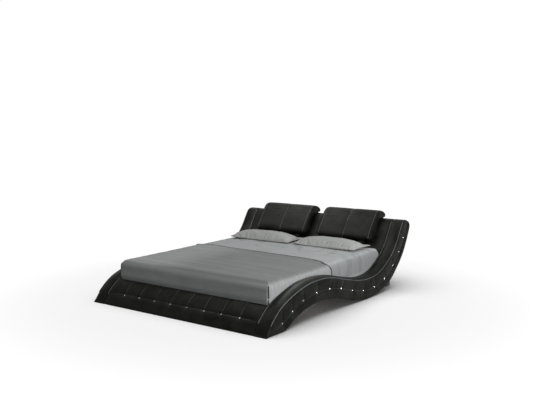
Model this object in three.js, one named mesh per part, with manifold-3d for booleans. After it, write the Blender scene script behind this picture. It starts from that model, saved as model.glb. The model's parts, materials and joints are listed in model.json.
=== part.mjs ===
// A leather platform bed: padded S-shaped side rails, a slanted footboard, a headboard with
// two hinged headrests, a slatted base, a mattress and its bedding.
// Millimetres. X runs across the bed, +Y towards the headboard and +Z up. The origin lies on
// the floor under the middle of the bed.
import * as THREE from "three";
import { mergeVertices } from "three/addons/utils/BufferGeometryUtils.js";
import Module from "manifold-3d";

const wasm = await Module();
wasm.setup();

// Fits between pieces, and how far a cut runs past what it cuts
const seatGap = 0.3;
const beddingClearance = 1.4;
const cutOverrun = 5;
const weldDistance = 0.001;

// Mattress, fitted sheet and coverlet
const mattressWidth = 1790;
const mattressLength = 1990;
const mattressHeight = 190;
const mattressFootCornerRadius = 16;
const mattressHeadCornerRadius = 55;
const mattressEdgeRadius = 60;
const mattressBottomRadius = 10;
const mattressCrown = 11;
const crownSpan = 520;
const mattressHeadRiseShare = 0.11;
const sheetThickness = 2;
const coverletThickness = 6;
const coverletLength = 1023;
const coverletCornerRadius = 95;
// How far the crown has risen at shares of its span, inwards from the rounded top edge
const crownShares = [[0, 0], [0.365, 0.7], [1, 1]];
const slabCornerSteps = 3;
const slabEdgeSteps = 3;

// Pillows
const leftPillowWidth = 800;
const rightPillowWidth = 750;
const pillowDepth = 410;
const pillowHeight = 100;
const pillowRearLift = 33;
const pillowRearClearance = 44;
const leftPillowCentre = -420;
const rightPillowCentre = 423;
const pillowSteps = 12;
const pillowContactShare = 0.55;
const pillowSeamShare = 0.24;
const pillowEndShare = 0.12;
const pillowSideDrawShare = 0.05;
const pillowEndDrawShare = 0.035;
const pillowEndPower = 2.5;
const pillowFillPower = 0.6;
// Section from the front edge, under the pillow and back over it: shares of half its depth
// and of its height. The rear is pressed flat under the headrest.
const pillowSectionShares = [
  [-1, 0.24], [-0.94, 0.07], [-pillowContactShare, 0], [0, 0], [0.55, 0], [0.82, 0.05], [1, 0.18],
  [0.76, 0.22], [0.5, 0.28], [0.34, 0.58], [0.147, 0.88], [-0.147, 0.985], [-0.47, 0.91], [-0.78, 0.68],
  [-0.95, 0.43],
];

// Side rails: padded S-shaped beams. The outline's two edges are paired points, as shares of
// the overall length from the foot and of the headboard's height.
const railWidth = 138;
const footboardDepth = 221;
const headboardDepth = 400.4;
const headboardHeight = 703;
const railTopShares = [
  [0, 0.011], [0.0286, 0.151], [0.079, 0.3016], [0.1527, 0.4097], [0.229, 0.4794], [0.3053, 0.4964],
  [0.3817, 0.4737], [0.4714, 0.3969], [0.5725, 0.3172], [0.6489, 0.2937], [0.7225, 0.3201],
  [0.7863, 0.4154], [0.8397, 0.5377], [0.8779, 0.6871], [0.9328, 0.9815], [0.9435, 0.9986], [0.9599, 1],
];
const railBottomShares = [
  [0.0015, 0], [0.0496, 0], [0.1, 0.0043], [0.1756, 0.1238], [0.2405, 0.1863], [0.3053, 0.2105],
  [0.3683, 0.1991], [0.4447, 0.1451], [0.5573, 0.0398], [0.6546, 0], [0.7416, 0.0384],
  [0.8282, 0.1394], [0.895, 0.3243], [0.9447, 0.5121], [0.9962, 0.8464], [0.99978, 0.9033], [0.9901, 0.9559],
];
// Shares of the length at which the outline passes the footboard's back and the headboard's front
const footZoneShare = 0.08424;
const headZoneShare = 0.84859;
const padding = 22;
const railCrown = 18;
const railCrownPower = 0.6;
const railEdgeRadius = 14;
const railEdgeShare = 0.3;
const railEdgeSideShare = 0.35;
const tuftFullHeight = 150;
const sideRowShare = 0.54;
const topRowShares = [0.7, 0.35];
const topRowCrownShares = [0.85, 1];
const innerEdgeCrownShare = 0.3;

// Tufting: crystal buttons drawn into the padding on a cord that lies in the middle seam.
// The rail's buttons are shares of the band's length and of its height there.
const railButtonShares = [
  [0.0855, 0.36], [0.142, 0.4], [0.2046, 0.43], [0.2809, 0.44], [0.357, 0.47], [0.43, 0.51], [0.5061, 0.49],
  [0.5836, 0.46], [0.6624, 0.42], [0.7398, 0.385], [0.8125, 0.395], [0.8747, 0.39], [0.9346, 0.375],
];
const ringsPerPitch = 3;
const toeRingShares = [0, 0.2, 0.5, 0.8];
const endRingShares = [0.35, 0.62, 0.8, 0.92, 1];
const buttonDepth = 14;
const seamDepth = 6;
const pleatDepth = 6;
const crystalRadius = 12;
const crystalBack = 4;
const crystalFront = 6;
const crystalTableShare = 0.6;
const crystalSides = 6;
const cordRadius = 1.6;
const cordLift = 0.7;
const pathSamples = 240;
const solveSteps = 60;

// Timber inside the rails, footboard and headboard
const boardThickness = 15;
const railPanelThickness = 12;
const frameToe = 110;
const frameEnd = 34;
const frameSteps = 26;
const railBayCount = 6;
const ribThickness = 18;
const pocketSteps = 4;

// Footboard and headboard panels between the rails
const footboardButtonCount = 8;
const footboardButtonPitch = 200;
const footboardRowShares = [0.2, 0.36, 0.5, 0.64, 0.82];
const footboardFrameShares = [0.18, 0.32, 0.5, 0.7, 0.9];
const footboardPocketShares = [0.34, 0.46, 0.6];
const footboardButtonRow = 2;
const panelEdgeRadius = 10;
const panelEdgeDepth = 4;
const panelSteps = 8;
const panelRibCount = 4;
const headboardCrossMember = 45;

// Headrests: padded covers on plywood boards, hinged at the headboard's face
const leftHeadrestCentre = -406;
const rightHeadrestCentre = 434;
const headrestWidth = 688;
const headrestThickness = 95;
const headrestLift = 65;
const headrestEndRadius = 60;
const headrestSeamWidth = 36;
const headrestSeamPullShare = 0.2;
const headrestEndAngles = [0, 35, 65, 90];
const headrestSpanShares = [0.5];
const headrestCrownShare = 0.14;
const headrestBoardInset = 46;
const headrestBoardThickness = 12;
const headrestBoardLowShare = 0.05;
const headrestBoardHighShare = 0.95;
const headrestBackShare = 0.285;
const faceTopShare = 0.97;
const faceSamples = 24;
// Side outline of a headrest, from the bottom of its back round the front and over the top:
// shares of its thickness in front of the headboard's face, and of the face's length up it.
const headrestOutlineShares = [
  [0.285, 0.01], [0.58, -0.013], [0.84, 0.02], [0.96, 0.115], [1, 0.51], [0.955, 0.89], [0.885, 1.0],
  [0.84, 1.085], [0.505, 1.218], [0.05, 1.297], [-0.42, 1.315], [-0.74, 1.28], [-0.81, 1.215],
  [-0.65, 1.187], [-0.37, 1.136], [-0.04, 1.062], [0.16, 1.01], [0.285, 0.975],
];
const headrestEndShares = [
  [0.285, 0.075], [0.55, 0.068], [0.7, 0.09], [0.76, 0.15], [0.78, 0.51], [0.74, 0.81], [0.7, 0.88],
  [0.65, 0.955], [0.47, 1.058], [0.15, 1.132], [-0.15, 1.16], [-0.38, 1.173], [-0.46, 1.166],
  [-0.44, 1.152], [-0.25, 1.119], [0, 1.064], [0.17, 1.017], [0.285, 0.976],
];

// Headrest hinges
const hingeSpacing = 400;
const hingeWidth = 64;
const hingeLeafThickness = 3;
const hingeLeafHeight = 60;
const hingeKnuckleRadius = 7;
const hingeBoreRadius = 4.5;
const hingePinRadius = 4;
const hingePinHeadRadius = 6;
const hingePinHeadLength = 3;
const hingeKnuckleShare = 0.32;
const hingeSides = 12;

// Slatted base
const slatTop = 204;
const slatThickness = 16;
const slatWidth = 90;
const slatCount = 11;
const slatEndClearance = 3;
const slatMargin = 30;
const ledgerWidth = 30;
const ledgerHeight = 38;
const beamWidth = 40;
const beamHeight = 60;
const bracketLeg = 50;
const bracketThickness = 3;
const bracketHeight = 33;
const legPlaceShares = [0.32, 0.7];
const legRadius = 19;
const legBoreRadius = 6.5;
const legBoreDepth = 60;
const legSides = 16;
const footRadius = 25;
const footHeight = 12;
const stemRadius = 6;
const stemHeight = 50;

// Rear feet under the headboard's corners
const rearFootWidth = 60;
const rearFootDepth = 80;
const rearFootOutset = 28;
const rearFootFromEnd = 240;
const rearFootSteps = 4;

// Lengths worked out from the sizes above
const sheetOffset = seatGap + sheetThickness;
const coverletInnerOffset = sheetOffset + seatGap;
const coverletOffset = coverletInnerOffset + coverletThickness;
const railInner = mattressWidth / 2 + coverletOffset + beddingClearance;
const railOuter = railInner + railWidth;
const overallLength = footboardDepth + coverletOffset + mattressLength + headboardDepth;
const footEnd = -overallLength / 2;
const beddingFoot = footEnd + footboardDepth;
const mattressFoot = beddingFoot + coverletOffset;
const mattressHead = mattressFoot + mattressLength;
const mattressCentre = (mattressFoot + mattressHead) / 2;
const mattressBase = slatTop + seatGap;
const mattressTop = mattressBase + mattressHeight;
const footPlane = beddingFoot - seatGap;
const headPlane = mattressHead + sheetOffset + beddingClearance;
const panelHalfWidth = railInner - seatGap;
const slatBottom = slatTop - slatThickness;

const finishes = {
  leather: new THREE.MeshStandardMaterial({ color: 0x1d1f20, roughness: 0.42, metalness: 0 }),
  plywood: new THREE.MeshStandardMaterial({ color: 0xb48f5f, roughness: 0.75, metalness: 0 }),
  blackPlywood: new THREE.MeshStandardMaterial({ color: 0x1e1d1c, roughness: 0.7, metalness: 0 }),
  pine: new THREE.MeshStandardMaterial({ color: 0xcdb184, roughness: 0.7, metalness: 0 }),
  steel: new THREE.MeshStandardMaterial({ color: 0x8d9093, roughness: 0.38, metalness: 0.9 }),
  blackSteel: new THREE.MeshStandardMaterial({ color: 0x1b1b1c, roughness: 0.5, metalness: 0.4 }),
  plastic: new THREE.MeshStandardMaterial({ color: 0x202021, roughness: 0.6, metalness: 0 }),
  crystal: new THREE.MeshStandardMaterial({ color: 0xe3e8ec, roughness: 0.08, metalness: 0.1 }),
  ticking: new THREE.MeshStandardMaterial({ color: 0xd9d9d6, roughness: 0.9, metalness: 0 }),
  sheet: new THREE.MeshStandardMaterial({ color: 0x9b9ea0, roughness: 0.85, metalness: 0 }),
  coverlet: new THREE.MeshStandardMaterial({ color: 0x85888b, roughness: 0.85, metalness: 0 }),
};

// Geometry helpers

function solidOf(geometry) {
  const bare = geometry.clone();
  bare.deleteAttribute("normal");
  bare.deleteAttribute("uv");
  const merged = mergeVertices(bare, weldDistance);
  return new wasm.Manifold(new wasm.Mesh({
    numProp: 3,
    vertProperties: merged.attributes.position.array,
    triVerts: merged.index.array,
  }));
}

function geometryOf(solid) {
  const mesh = solid.getMesh();
  const geometry = new THREE.BufferGeometry();
  geometry.setAttribute("position", new THREE.BufferAttribute(mesh.vertProperties, 3));
  geometry.setIndex(new THREE.BufferAttribute(mesh.triVerts, 1));
  geometry.computeVertexNormals();
  return geometry;
}

// The base solid with the added ones joined on and the cut ones taken away
function combined(base, added, cut) {
  let solid = solidOf(base);
  for (const geometry of added) {
    solid = solid.add(solidOf(geometry));
  }
  for (const geometry of cut) {
    solid = solid.subtract(solidOf(geometry));
  }
  return geometryOf(solid);
}

function signedVolume(positions, triangles) {
  let volume = 0;
  const corner = [new THREE.Vector3(), new THREE.Vector3(), new THREE.Vector3()];
  for (let i = 0; i < triangles.length; i += 3) {
    corner.forEach((point, k) => point.fromArray(positions, 3 * triangles[i + k]));
    volume += corner[0].dot(corner[1].cross(corner[2]));
  }
  return volume;
}

// Triangles that close the flat end of a loft
function capTriangles(ring, first) {
  const normal = new THREE.Vector3();
  ring.forEach((point, i) => {
    normal.add(point.clone().cross(ring[(i + 1) % ring.length]));
  });
  normal.normalize();
  const side = ring[1].clone().sub(ring[0]).normalize();
  const up = normal.clone().cross(side);
  const flat = ring.map((point) => new THREE.Vector2(point.dot(side), point.dot(up)));
  return THREE.ShapeUtils.triangulateShape(flat, []).flat().map((index) => first + index);
}

// A closed solid through rings of matching points
function loft(rings) {
  const count = rings[0].length;
  const positions = rings.flat().flatMap((point) => point.toArray());
  const triangles = [];
  for (let i = 0; i < rings.length - 1; i++) {
    for (let j = 0; j < count; j++) {
      const a = i * count + j;
      const b = i * count + (j + 1) % count;
      triangles.push(a, b, b + count, a, b + count, a + count);
    }
  }
  const last = (rings.length - 1) * count;
  const start = capTriangles(rings[0], 0);
  triangles.push(...start.reverse(), ...capTriangles(rings.at(-1), last));
  if (signedVolume(positions, triangles) < 0) {
    triangles.reverse();
  }
  const geometry = new THREE.BufferGeometry();
  geometry.setAttribute("position", new THREE.Float32BufferAttribute(positions, 3));
  geometry.setIndex(triangles);
  geometry.computeVertexNormals();
  return geometry;
}

// An outline in the Y-Z plane, drawn out along X
function prismAlongX(outline, fromX, toX) {
  return loft([fromX, toX].map((x) => outline.map(([y, z]) => new THREE.Vector3(x, y, z))));
}

function boxBetween(low, high) {
  const size = high.clone().sub(low);
  const middle = low.clone().add(high).divideScalar(2);
  return new THREE.BoxGeometry(size.x, size.y, size.z).translate(middle.x, middle.y, middle.z);
}

function mirrored(geometry) {
  const copy = geometry.clone();
  copy.scale(-1, 1, 1);
  const triangles = Array.from(copy.index.array).reverse();
  copy.setIndex(triangles);
  copy.computeVertexNormals();
  return copy;
}

function addPart(group, name, geometry, material) {
  const mesh = new THREE.Mesh(geometry, material);
  mesh.name = name;
  group.add(mesh);
  return mesh;
}

// Value in [low, high] where a rising function reaches the target
function solveRising(measure, target, low, high) {
  let below = low;
  let above = high;
  for (let i = 0; i < solveSteps; i++) {
    const middle = (below + above) / 2;
    if (measure(middle) < target) {
      below = middle;
    } else {
      above = middle;
    }
  }
  return (below + above) / 2;
}

// An outline moved outwards by a distance, corner for corner
function grown(outline, distance) {
  const points = outline.map(([x, y]) => new THREE.Vector2(x, y));
  const outwards = THREE.ShapeUtils.isClockWise(points) ? -1 : 1;
  const count = points.length;
  return points.map((point, i) => {
    const before = point.clone().sub(points[(i + count - 1) % count]).normalize();
    const after = points[(i + 1) % count].clone().sub(point).normalize();
    const turn = 1 + before.dot(after);
    const reach = outwards * distance / turn;
    return [point.x + (before.y + after.y) * reach, point.y - (before.x + after.x) * reach];
  });
}

function evenly(from, to, steps) {
  return Array.from({ length: steps + 1 }, (_, i) => from + (to - from) * i / steps);
}

// The S-shaped outline that rails, footboard and headboard share

// Place along the bed of a share of the outline, which keeps its form beside the panels
function outlinePlace(share) {
  const { mapLinear } = THREE.MathUtils;
  if (share < footZoneShare) {
    return mapLinear(share, 0, footZoneShare, footEnd, footPlane);
  }
  if (share < headZoneShare) {
    return mapLinear(share, footZoneShare, headZoneShare, footPlane, headPlane);
  }
  return mapLinear(share, headZoneShare, 1, headPlane, overallLength / 2);
}

function edgeCurve(shares) {
  const points = shares.map(([along, up]) => (
    new THREE.Vector3(0, outlinePlace(along), up * headboardHeight)
  ));
  return new THREE.CatmullRomCurve3(points, false, "centripetal");
}

const topCurve = edgeCurve(railTopShares);
const bottomCurve = edgeCurve(railBottomShares);

// Both edges at one place on the band, moved towards each other by an inset
function bandAt(place, inset = 0) {
  const top = topCurve.getPoint(place);
  const bottom = bottomCurve.getPoint(place);
  bottom.z = Math.max(bottom.z, 0);
  const rise = top.clone().sub(bottom);
  const height = rise.length();
  rise.divideScalar(height);
  top.addScaledVector(rise, -inset);
  bottom.addScaledVector(rise, inset);
  return { top, bottom, rise, height };
}

function middleAt(place) {
  const { top, bottom } = bandAt(place);
  return top.add(bottom).divideScalar(2);
}

const middleDistances = [0];
for (let i = 1; i <= pathSamples; i++) {
  const step = middleAt(i / pathSamples).distanceTo(middleAt((i - 1) / pathSamples));
  middleDistances.push(middleDistances[i - 1] + step);
}
const bandLength = middleDistances[pathSamples];

// Place on the band at a distance along its middle line
function placeAt(distance) {
  const i = middleDistances.findIndex((reached) => reached >= distance);
  if (i <= 0) {
    return i < 0 ? 1 : 0;
  }
  const before = middleDistances[i - 1];
  const share = (distance - before) / (middleDistances[i] - before);
  return (i - 1 + share) / pathSamples;
}

// Outline of the band between two places, inset from both edges
function bandOutline(fromPlace, toPlace, inset, steps) {
  const places = evenly(fromPlace, toPlace, steps);
  const top = places.map((place) => bandAt(place, inset).top);
  const bottom = places.map((place) => bandAt(place, inset).bottom).reverse();
  return top.concat(bottom).map((point) => [point.y, point.z]);
}

// The rail's rings, with their distance along the band, the seam's height share, and whether
// a button draws the padding in there
function railStations() {
  const [firstShare, firstSeam] = railButtonShares[0];
  const [lastShare, lastSeam] = railButtonShares.at(-1);
  const toe = toeRingShares.map((share) => ({ along: share * firstShare, seam: firstSeam, pull: 0 }));
  const end = endRingShares.map((share) => (
    { along: lastShare + share * (1 - lastShare), seam: lastSeam, pull: 0 }
  ));
  const rows = railButtonShares.slice(1).flatMap(([nextShare, nextSeam], i) => {
    const [share, seam] = railButtonShares[i];
    return evenly(0, 1, ringsPerPitch).slice(0, -1).map((step) => (
      { along: share + step * (nextShare - share), seam: seam + step * (nextSeam - seam), pull: step ? 0 : 1 }
    ));
  });
  const last = { along: lastShare, seam: lastSeam, pull: 1 };
  return [...toe, ...rows, last, ...end].map((station) => (
    { ...station, distance: station.along * bandLength }
  ));
}

function seamDepthAt(station, height) {
  const slim = Math.min(1, height / tuftFullHeight);
  return slim * (seamDepth + (buttonDepth - seamDepth) * station.pull);
}

// One section of a padded rail, with its crowned top, tufted side and rounded edges
function railRing(station) {
  const { bottom, rise, height } = bandAt(placeAt(station.distance));
  const edge = Math.min(railEdgeRadius, height * railEdgeShare);
  const slim = Math.min(1, height / tuftFullHeight);
  const crown = slim * railCrown * Math.sin(Math.PI * station.distance / bandLength) ** railCrownPower;
  const pleat = slim * pleatDepth * station.pull;
  const depths = [pleat, seamDepthAt(station, height), pleat];
  const rows = [station.seam * sideRowShare, station.seam, 1 - (1 - station.seam) * sideRowShare];
  const points = [
    [railInner, edge],
    [railInner + edge, 0],
    [railOuter - edge, 0],
    [railOuter - edge * railEdgeSideShare, edge],
    ...rows.map((share, i) => [railOuter - depths[i], share * height]),
    [railOuter - edge * railEdgeSideShare, height - edge],
    [railOuter - edge, height],
    ...topRowShares.map((share, i) => [railInner + share * railWidth, height + crown * topRowCrownShares[i]]),
    [railInner + edge, height + crown * innerEdgeCrownShare],
    [railInner, height - edge],
  ];
  return points.map(([x, up]) => new THREE.Vector3(x, bottom.y + rise.y * up, bottom.z + rise.z * up));
}

function railFrameOutline() {
  return bandOutline(placeAt(frameToe), placeAt(bandLength - frameEnd), padding, frameSteps);
}

function railUpholstery() {
  const body = loft(railStations().map(railRing));
  const outline = grown(railFrameOutline(), seatGap);
  const cavity = prismAlongX(outline, railInner - cutOverrun, railOuter - padding + seatGap);
  return combined(body, [], [cavity]);
}

// Open-sided plywood tray with ribs, closed on the bed side by the inner panel
function railFrame() {
  const open = railInner + railPanelThickness + seatGap;
  const closed = railOuter - padding;
  const tray = prismAlongX(railFrameOutline(), open, closed);
  const start = frameToe + boardThickness;
  const bay = (bandLength - frameEnd - boardThickness - start) / railBayCount;
  const pockets = Array.from({ length: railBayCount }, (_, i) => {
    const low = placeAt(start + i * bay + ribThickness / 2);
    const high = placeAt(start + (i + 1) * bay - ribThickness / 2);
    const outline = bandOutline(low, high, padding + boardThickness, pocketSteps);
    return prismAlongX(outline, open - cutOverrun, closed - boardThickness);
  });
  return combined(tray, [], pockets);
}

function railInnerPanel() {
  return prismAlongX(railFrameOutline(), railInner, railInner + railPanelThickness);
}

// A faceted crystal whose pointed back lies at the origin and which faces along +X
function crystal() {
  const profile = [
    new THREE.Vector2(0, 0),
    new THREE.Vector2(crystalRadius, crystalBack),
    new THREE.Vector2(crystalRadius * crystalTableShare, crystalBack + crystalFront),
    new THREE.Vector2(0, crystalBack + crystalFront),
  ];
  return new THREE.LatheGeometry(profile, crystalSides).rotateZ(-Math.PI / 2);
}

// A square cord through points, each with the two directions across it
function cordAlong(knots) {
  return loft(knots.map(({ point, out, side }) => [[1, 1], [-1, 1], [-1, -1], [1, -1]].map(([a, b]) => (
    point.clone().addScaledVector(out, a * cordRadius).addScaledVector(side, b * cordRadius)
  ))));
}

// The rail's crystals on their tufting cord
function railButtonRow() {
  const out = new THREE.Vector3(1, 0, 0);
  const [firstShare] = railButtonShares[0];
  const [lastShare] = railButtonShares.at(-1);
  const laid = railStations().filter(({ along }) => along >= firstShare && along <= lastShare);
  const spots = laid.map((station) => {
    const { rise, height, bottom } = bandAt(placeAt(station.distance));
    const middle = bottom.clone().addScaledVector(rise, height * station.seam);
    middle.x = railOuter - seamDepthAt(station, height);
    return { middle, rise, pull: station.pull };
  });
  const cord = cordAlong(spots.map(({ middle, rise }) => ({
    point: middle.clone().addScaledVector(out, cordLift + cordRadius), out, side: rise,
  })));
  const crystals = spots.filter(({ pull }) => pull === 1).map(({ middle }) => (
    crystal().translate(middle.x + seatGap, middle.y, middle.z)
  ));
  return combined(cord, crystals, []);
}

function addRails(group) {
  const pieces = {
    rail_upholstery: [railUpholstery(), finishes.leather],
    rail_frame: [railFrame(), finishes.plywood],
    rail_inner_panel: [railInnerPanel(), finishes.blackPlywood],
    rail_button_row: [railButtonRow(), finishes.crystal],
  };
  for (const [name, [geometry, material]] of Object.entries(pieces)) {
    addPart(group, `right_${name}`, geometry, material);
    addPart(group, `left_${name}`, mirrored(geometry), material);
  }
}

// Place on the band's top edge at a height, between two places where it rises
function topPlaceAtHeight(height, from, to) {
  return solveRising((place) => topCurve.getPoint(place).z, height, from, to);
}

// Place where the band's top edge meets a plane across the bed
function topPlaceOfPlane(y) {
  return solveRising((place) => topCurve.getPoint(place).y, y, 0, 1);
}

const footPlace = topPlaceOfPlane(footPlane - panelEdgeRadius);
const footboardTop = topCurve.getPoint(footPlace).z;

// Point on the slanted face of the footboard at a share of its height, moved inwards
function footFacePoint(share, depth) {
  const place = share < 1 ? topPlaceAtHeight(share * footboardTop, 0, footPlace) : footPlace;
  const point = topCurve.getPoint(place);
  const tangent = topCurve.getTangent(place);
  return new THREE.Vector3(0, point.y + tangent.z * depth, point.z - tangent.y * depth);
}

function footboardDepthAt(row, station) {
  if (row === footboardButtonRow) {
    return station.edge + seamDepth + (buttonDepth - seamDepth) * station.pull;
  }
  return station.edge + pleatDepth * station.pull;
}

// Places across the footboard: its buttons, the swells between them, and its edges
function footboardStations() {
  const half = (footboardButtonCount - 1) / 2 * footboardButtonPitch;
  const inner = Array.from({ length: 2 * footboardButtonCount - 1 }, (_, i) => (
    { x: -half + i * footboardButtonPitch / 2, pull: i % 2 === 0 ? 1 : 0, edge: 0 }
  ));
  const swell = half + footboardButtonPitch / 2;
  const ends = [
    { x: swell, pull: 0, edge: 0 },
    { x: panelHalfWidth - panelEdgeRadius, pull: 0, edge: 0 },
    { x: panelHalfWidth, pull: 0, edge: panelEdgeDepth },
  ];
  const starts = ends.map((end) => ({ ...end, x: -end.x })).reverse();
  return [...starts, ...inner, ...ends];
}

function footboardUpholstery() {
  const toe = bandAt(0);
  const rings = footboardStations().map((station) => {
    const face = footboardRowShares.map((share, row) => (
      footFacePoint(share, footboardDepthAt(row, station))
    ));
    const outline = [
      toe.bottom,
      toe.top,
      ...face,
      footFacePoint(1, station.edge),
      new THREE.Vector3(0, footPlane, footboardTop - station.edge),
      new THREE.Vector3(0, footPlane, 0),
    ];
    return outline.map((point) => new THREE.Vector3(station.x, point.y, point.z));
  });
  const cavity = grown(footboardHollow(footboardFrameShares, padding, footPlane), seatGap);
  const half = panelHalfWidth - padding + seatGap;
  return combined(loft(rings), [], [prismAlongX(cavity, -half, half)]);
}

// Outline under the slanted face at some shares of its height, flat below and behind
function footboardHollow(shares, inset, back) {
  const points = shares.map((share) => footFacePoint(share, inset));
  const top = points.at(-1).z;
  return [[points[0].y, inset], ...points.map(({ y, z }) => [y, z]), [back, top], [back, inset]];
}

// Spans between evenly spaced ribs across a panel
function ribBays(half) {
  const pitch = 2 * half / (panelRibCount - 1);
  return Array.from({ length: panelRibCount - 1 }, (_, i) => {
    const from = -half + i * pitch + ribThickness;
    return [from, from + pitch - 2 * ribThickness];
  });
}

function footboardFrame() {
  const half = panelHalfWidth - padding;
  const inset = padding + boardThickness;
  const pocket = footboardHollow(footboardPocketShares, inset, footPlane + cutOverrun);
  const outline = footboardHollow(footboardFrameShares, padding, footPlane);
  const body = prismAlongX(outline, -half, half);
  return combined(body, [], ribBays(half).map(([from, to]) => prismAlongX(pocket, from, to)));
}

function footboardButtons() {
  const stations = footboardStations().filter(({ x }) => Math.abs(x) < panelHalfWidth - padding);
  const share = footboardRowShares[footboardButtonRow];
  const tangent = topCurve.getTangent(topPlaceAtHeight(share * footboardTop, 0, footPlace));
  const out = new THREE.Vector3(0, -tangent.z, tangent.y);
  const spots = stations.map((station) => {
    const point = footFacePoint(share, footboardDepthAt(footboardButtonRow, station));
    point.x = station.x;
    return { point, pull: station.pull };
  });
  const cord = cordAlong(spots.map(({ point }) => ({
    point: point.clone().addScaledVector(out, cordLift + cordRadius), out, side: tangent,
  })));
  const turn = new THREE.Quaternion().setFromUnitVectors(new THREE.Vector3(1, 0, 0), out);
  const crystals = spots.filter(({ pull }) => pull === 1).map(({ point }) => {
    const place = point.clone().addScaledVector(out, seatGap);
    return crystal().applyQuaternion(turn).translate(place.x, place.y, place.z);
  });
  return combined(cord, crystals, []);
}

function addFootboard(group) {
  addPart(group, "footboard_upholstery", footboardUpholstery(), finishes.leather);
  addPart(group, "footboard_frame", footboardFrame(), finishes.plywood);
  addPart(group, "footboard_button_row", footboardButtons(), finishes.crystal);
}

// Outline of the headboard: the band cut off behind the mattress
function headboardOutline(inset, front, endPlace) {
  const topPlace = solveRising((place) => bandAt(place, inset).top.y, front, 0, endPlace);
  const lastRising = (railBottomShares.length - 3) / (railBottomShares.length - 1);
  const bottomPlace = solveRising((place) => bandAt(place, inset).bottom.y, front, 0, lastRising);
  const top = evenly(topPlace, endPlace, panelSteps).map((place) => bandAt(place, inset).top);
  const bottom = evenly(endPlace, bottomPlace, panelSteps).map((place) => bandAt(place, inset).bottom);
  return top.concat(bottom).map((point) => [point.y, point.z]);
}

function headboardUpholstery() {
  const outline = headboardOutline(0, headPlane, 1);
  const centre = outline.reduce(([y, z], point) => (
    [y + point[0] / outline.length, z + point[1] / outline.length]
  ), [0, 0]);
  const shrink = outline.map(([y, z]) => {
    const reach = Math.hypot(y - centre[0], z - centre[1]);
    const share = panelEdgeDepth / reach;
    return [Math.max(y + (centre[0] - y) * share, headPlane), z + (centre[1] - z) * share];
  });
  const rings = [
    [-panelHalfWidth, shrink],
    [panelEdgeRadius - panelHalfWidth, outline],
    [panelHalfWidth - panelEdgeRadius, outline],
    [panelHalfWidth, shrink],
  ].map(([x, points]) => points.map(([y, z]) => new THREE.Vector3(x, y, z)));
  const cavity = grown(headboardFrameOutline(), seatGap);
  const half = panelHalfWidth - padding + seatGap;
  return combined(loft(rings), [], [prismAlongX(cavity, -half, half)]);
}

function headboardFrameOutline() {
  return headboardOutline(padding, headPlane, placeAt(bandLength - frameEnd));
}

function headboardFrame() {
  const half = panelHalfWidth - padding;
  const body = prismAlongX(headboardFrameOutline(), -half, half);
  const pocketEnd = placeAt(bandLength - frameEnd - boardThickness);
  const inner = headboardOutline(padding + boardThickness, headPlane, pocketEnd);
  const floor = inner.at(-1)[1] + headboardCrossMember - boardThickness;
  const pocket = inner.map(([y, z], i) => (
    i === 0 || i === inner.length - 1 ? [headPlane - cutOverrun, Math.max(z, floor)] : [y, Math.max(z, floor)]
  ));
  return combined(body, [], ribBays(half).map(([from, to]) => prismAlongX(pocket, from, to)));
}

function addHeadboard(group) {
  addPart(group, "headboard_upholstery", headboardUpholstery(), finishes.leather);
  addPart(group, "headboard_frame", headboardFrame(), finishes.blackPlywood);
}

// The hinge axis, in front of the headboard's face and up it from the headrest's bottom
const hingeAxisOut = seatGap + hingeKnuckleRadius;
const hingeAxisUp = -hingeKnuckleRadius;

// Point on the headboard's front at a height, on the straight stretches of its outline or on
// the first of them carried on downwards
function headboardFrontAt(height) {
  const front = headboardOutline(0, headPlane, 1).slice(0, panelSteps + 1);
  const next = Math.max(front.findIndex(([, z]) => z > height), 1);
  const [y0, z0] = front[next - 1];
  const [y1, z1] = front[next];
  return new THREE.Vector3(0, y0 + (y1 - y0) * (height - z0) / (z1 - z0), height);
}

// The slanted plane that the hinges are fixed on, where it touches the headboard's face
function headboardFace() {
  const low = headboardFrontAt(mattressTop + headrestLift);
  const high = headboardFrontAt(headboardHeight * faceTopShare);
  const up = high.clone().sub(low).normalize();
  const out = new THREE.Vector3(0, -up.z, up.y);
  const bulges = evenly(hingeAxisUp, hingeLeafHeight, faceSamples).map((along) => (
    headboardFrontAt(low.z + along * up.z).sub(low).dot(out)
  ));
  const origin = low.addScaledVector(out, Math.max(...bulges));
  return { origin, up, length: (headboardHeight - origin.z) / up.z };
}

const face = headboardFace();
const boardFront = headrestThickness * headrestBackShare - seatGap;
const boardBack = boardFront - headrestBoardThickness;

function headrestRing(x, pull) {
  return headrestOutlineShares.map(([out, up], i) => {
    const [endOut, endUp] = headrestEndShares[i];
    return new THREE.Vector3(
      x,
      -headrestThickness * (out + (endOut - out) * pull),
      face.length * (up + (endUp - up) * pull),
    );
  });
}

// Padded cover that lies on the face and rolls over the headboard's top
function headrestCushion() {
  const flat = headrestWidth / 2 - headrestEndRadius;
  const half = [
    { x: headrestSeamWidth / 2, pull: 0 },
    ...headrestSpanShares.map((share) => ({ x: share * flat, pull: -headrestCrownShare })),
    ...headrestEndAngles.map((degrees) => {
      const angle = THREE.MathUtils.degToRad(degrees);
      return { x: flat + headrestEndRadius * Math.sin(angle), pull: 1 - Math.cos(angle) };
    }),
  ];
  const other = half.map(({ x, pull }) => ({ x: -x, pull })).reverse();
  const stations = [...other, { x: 0, pull: headrestSeamPullShare }, ...half];
  return loft(stations.map(({ x, pull }) => headrestRing(x, pull)));
}

function headrestBoard() {
  const half = headrestWidth / 2 - headrestBoardInset;
  return boxBetween(
    new THREE.Vector3(-half, -boardFront, face.length * headrestBoardLowShare),
    new THREE.Vector3(half, -boardBack, face.length * headrestBoardHighShare),
  );
}

function barAlongX(radius, length, sides) {
  return new THREE.CylinderGeometry(radius, radius, length, sides).rotateZ(Math.PI / 2);
}

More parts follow.
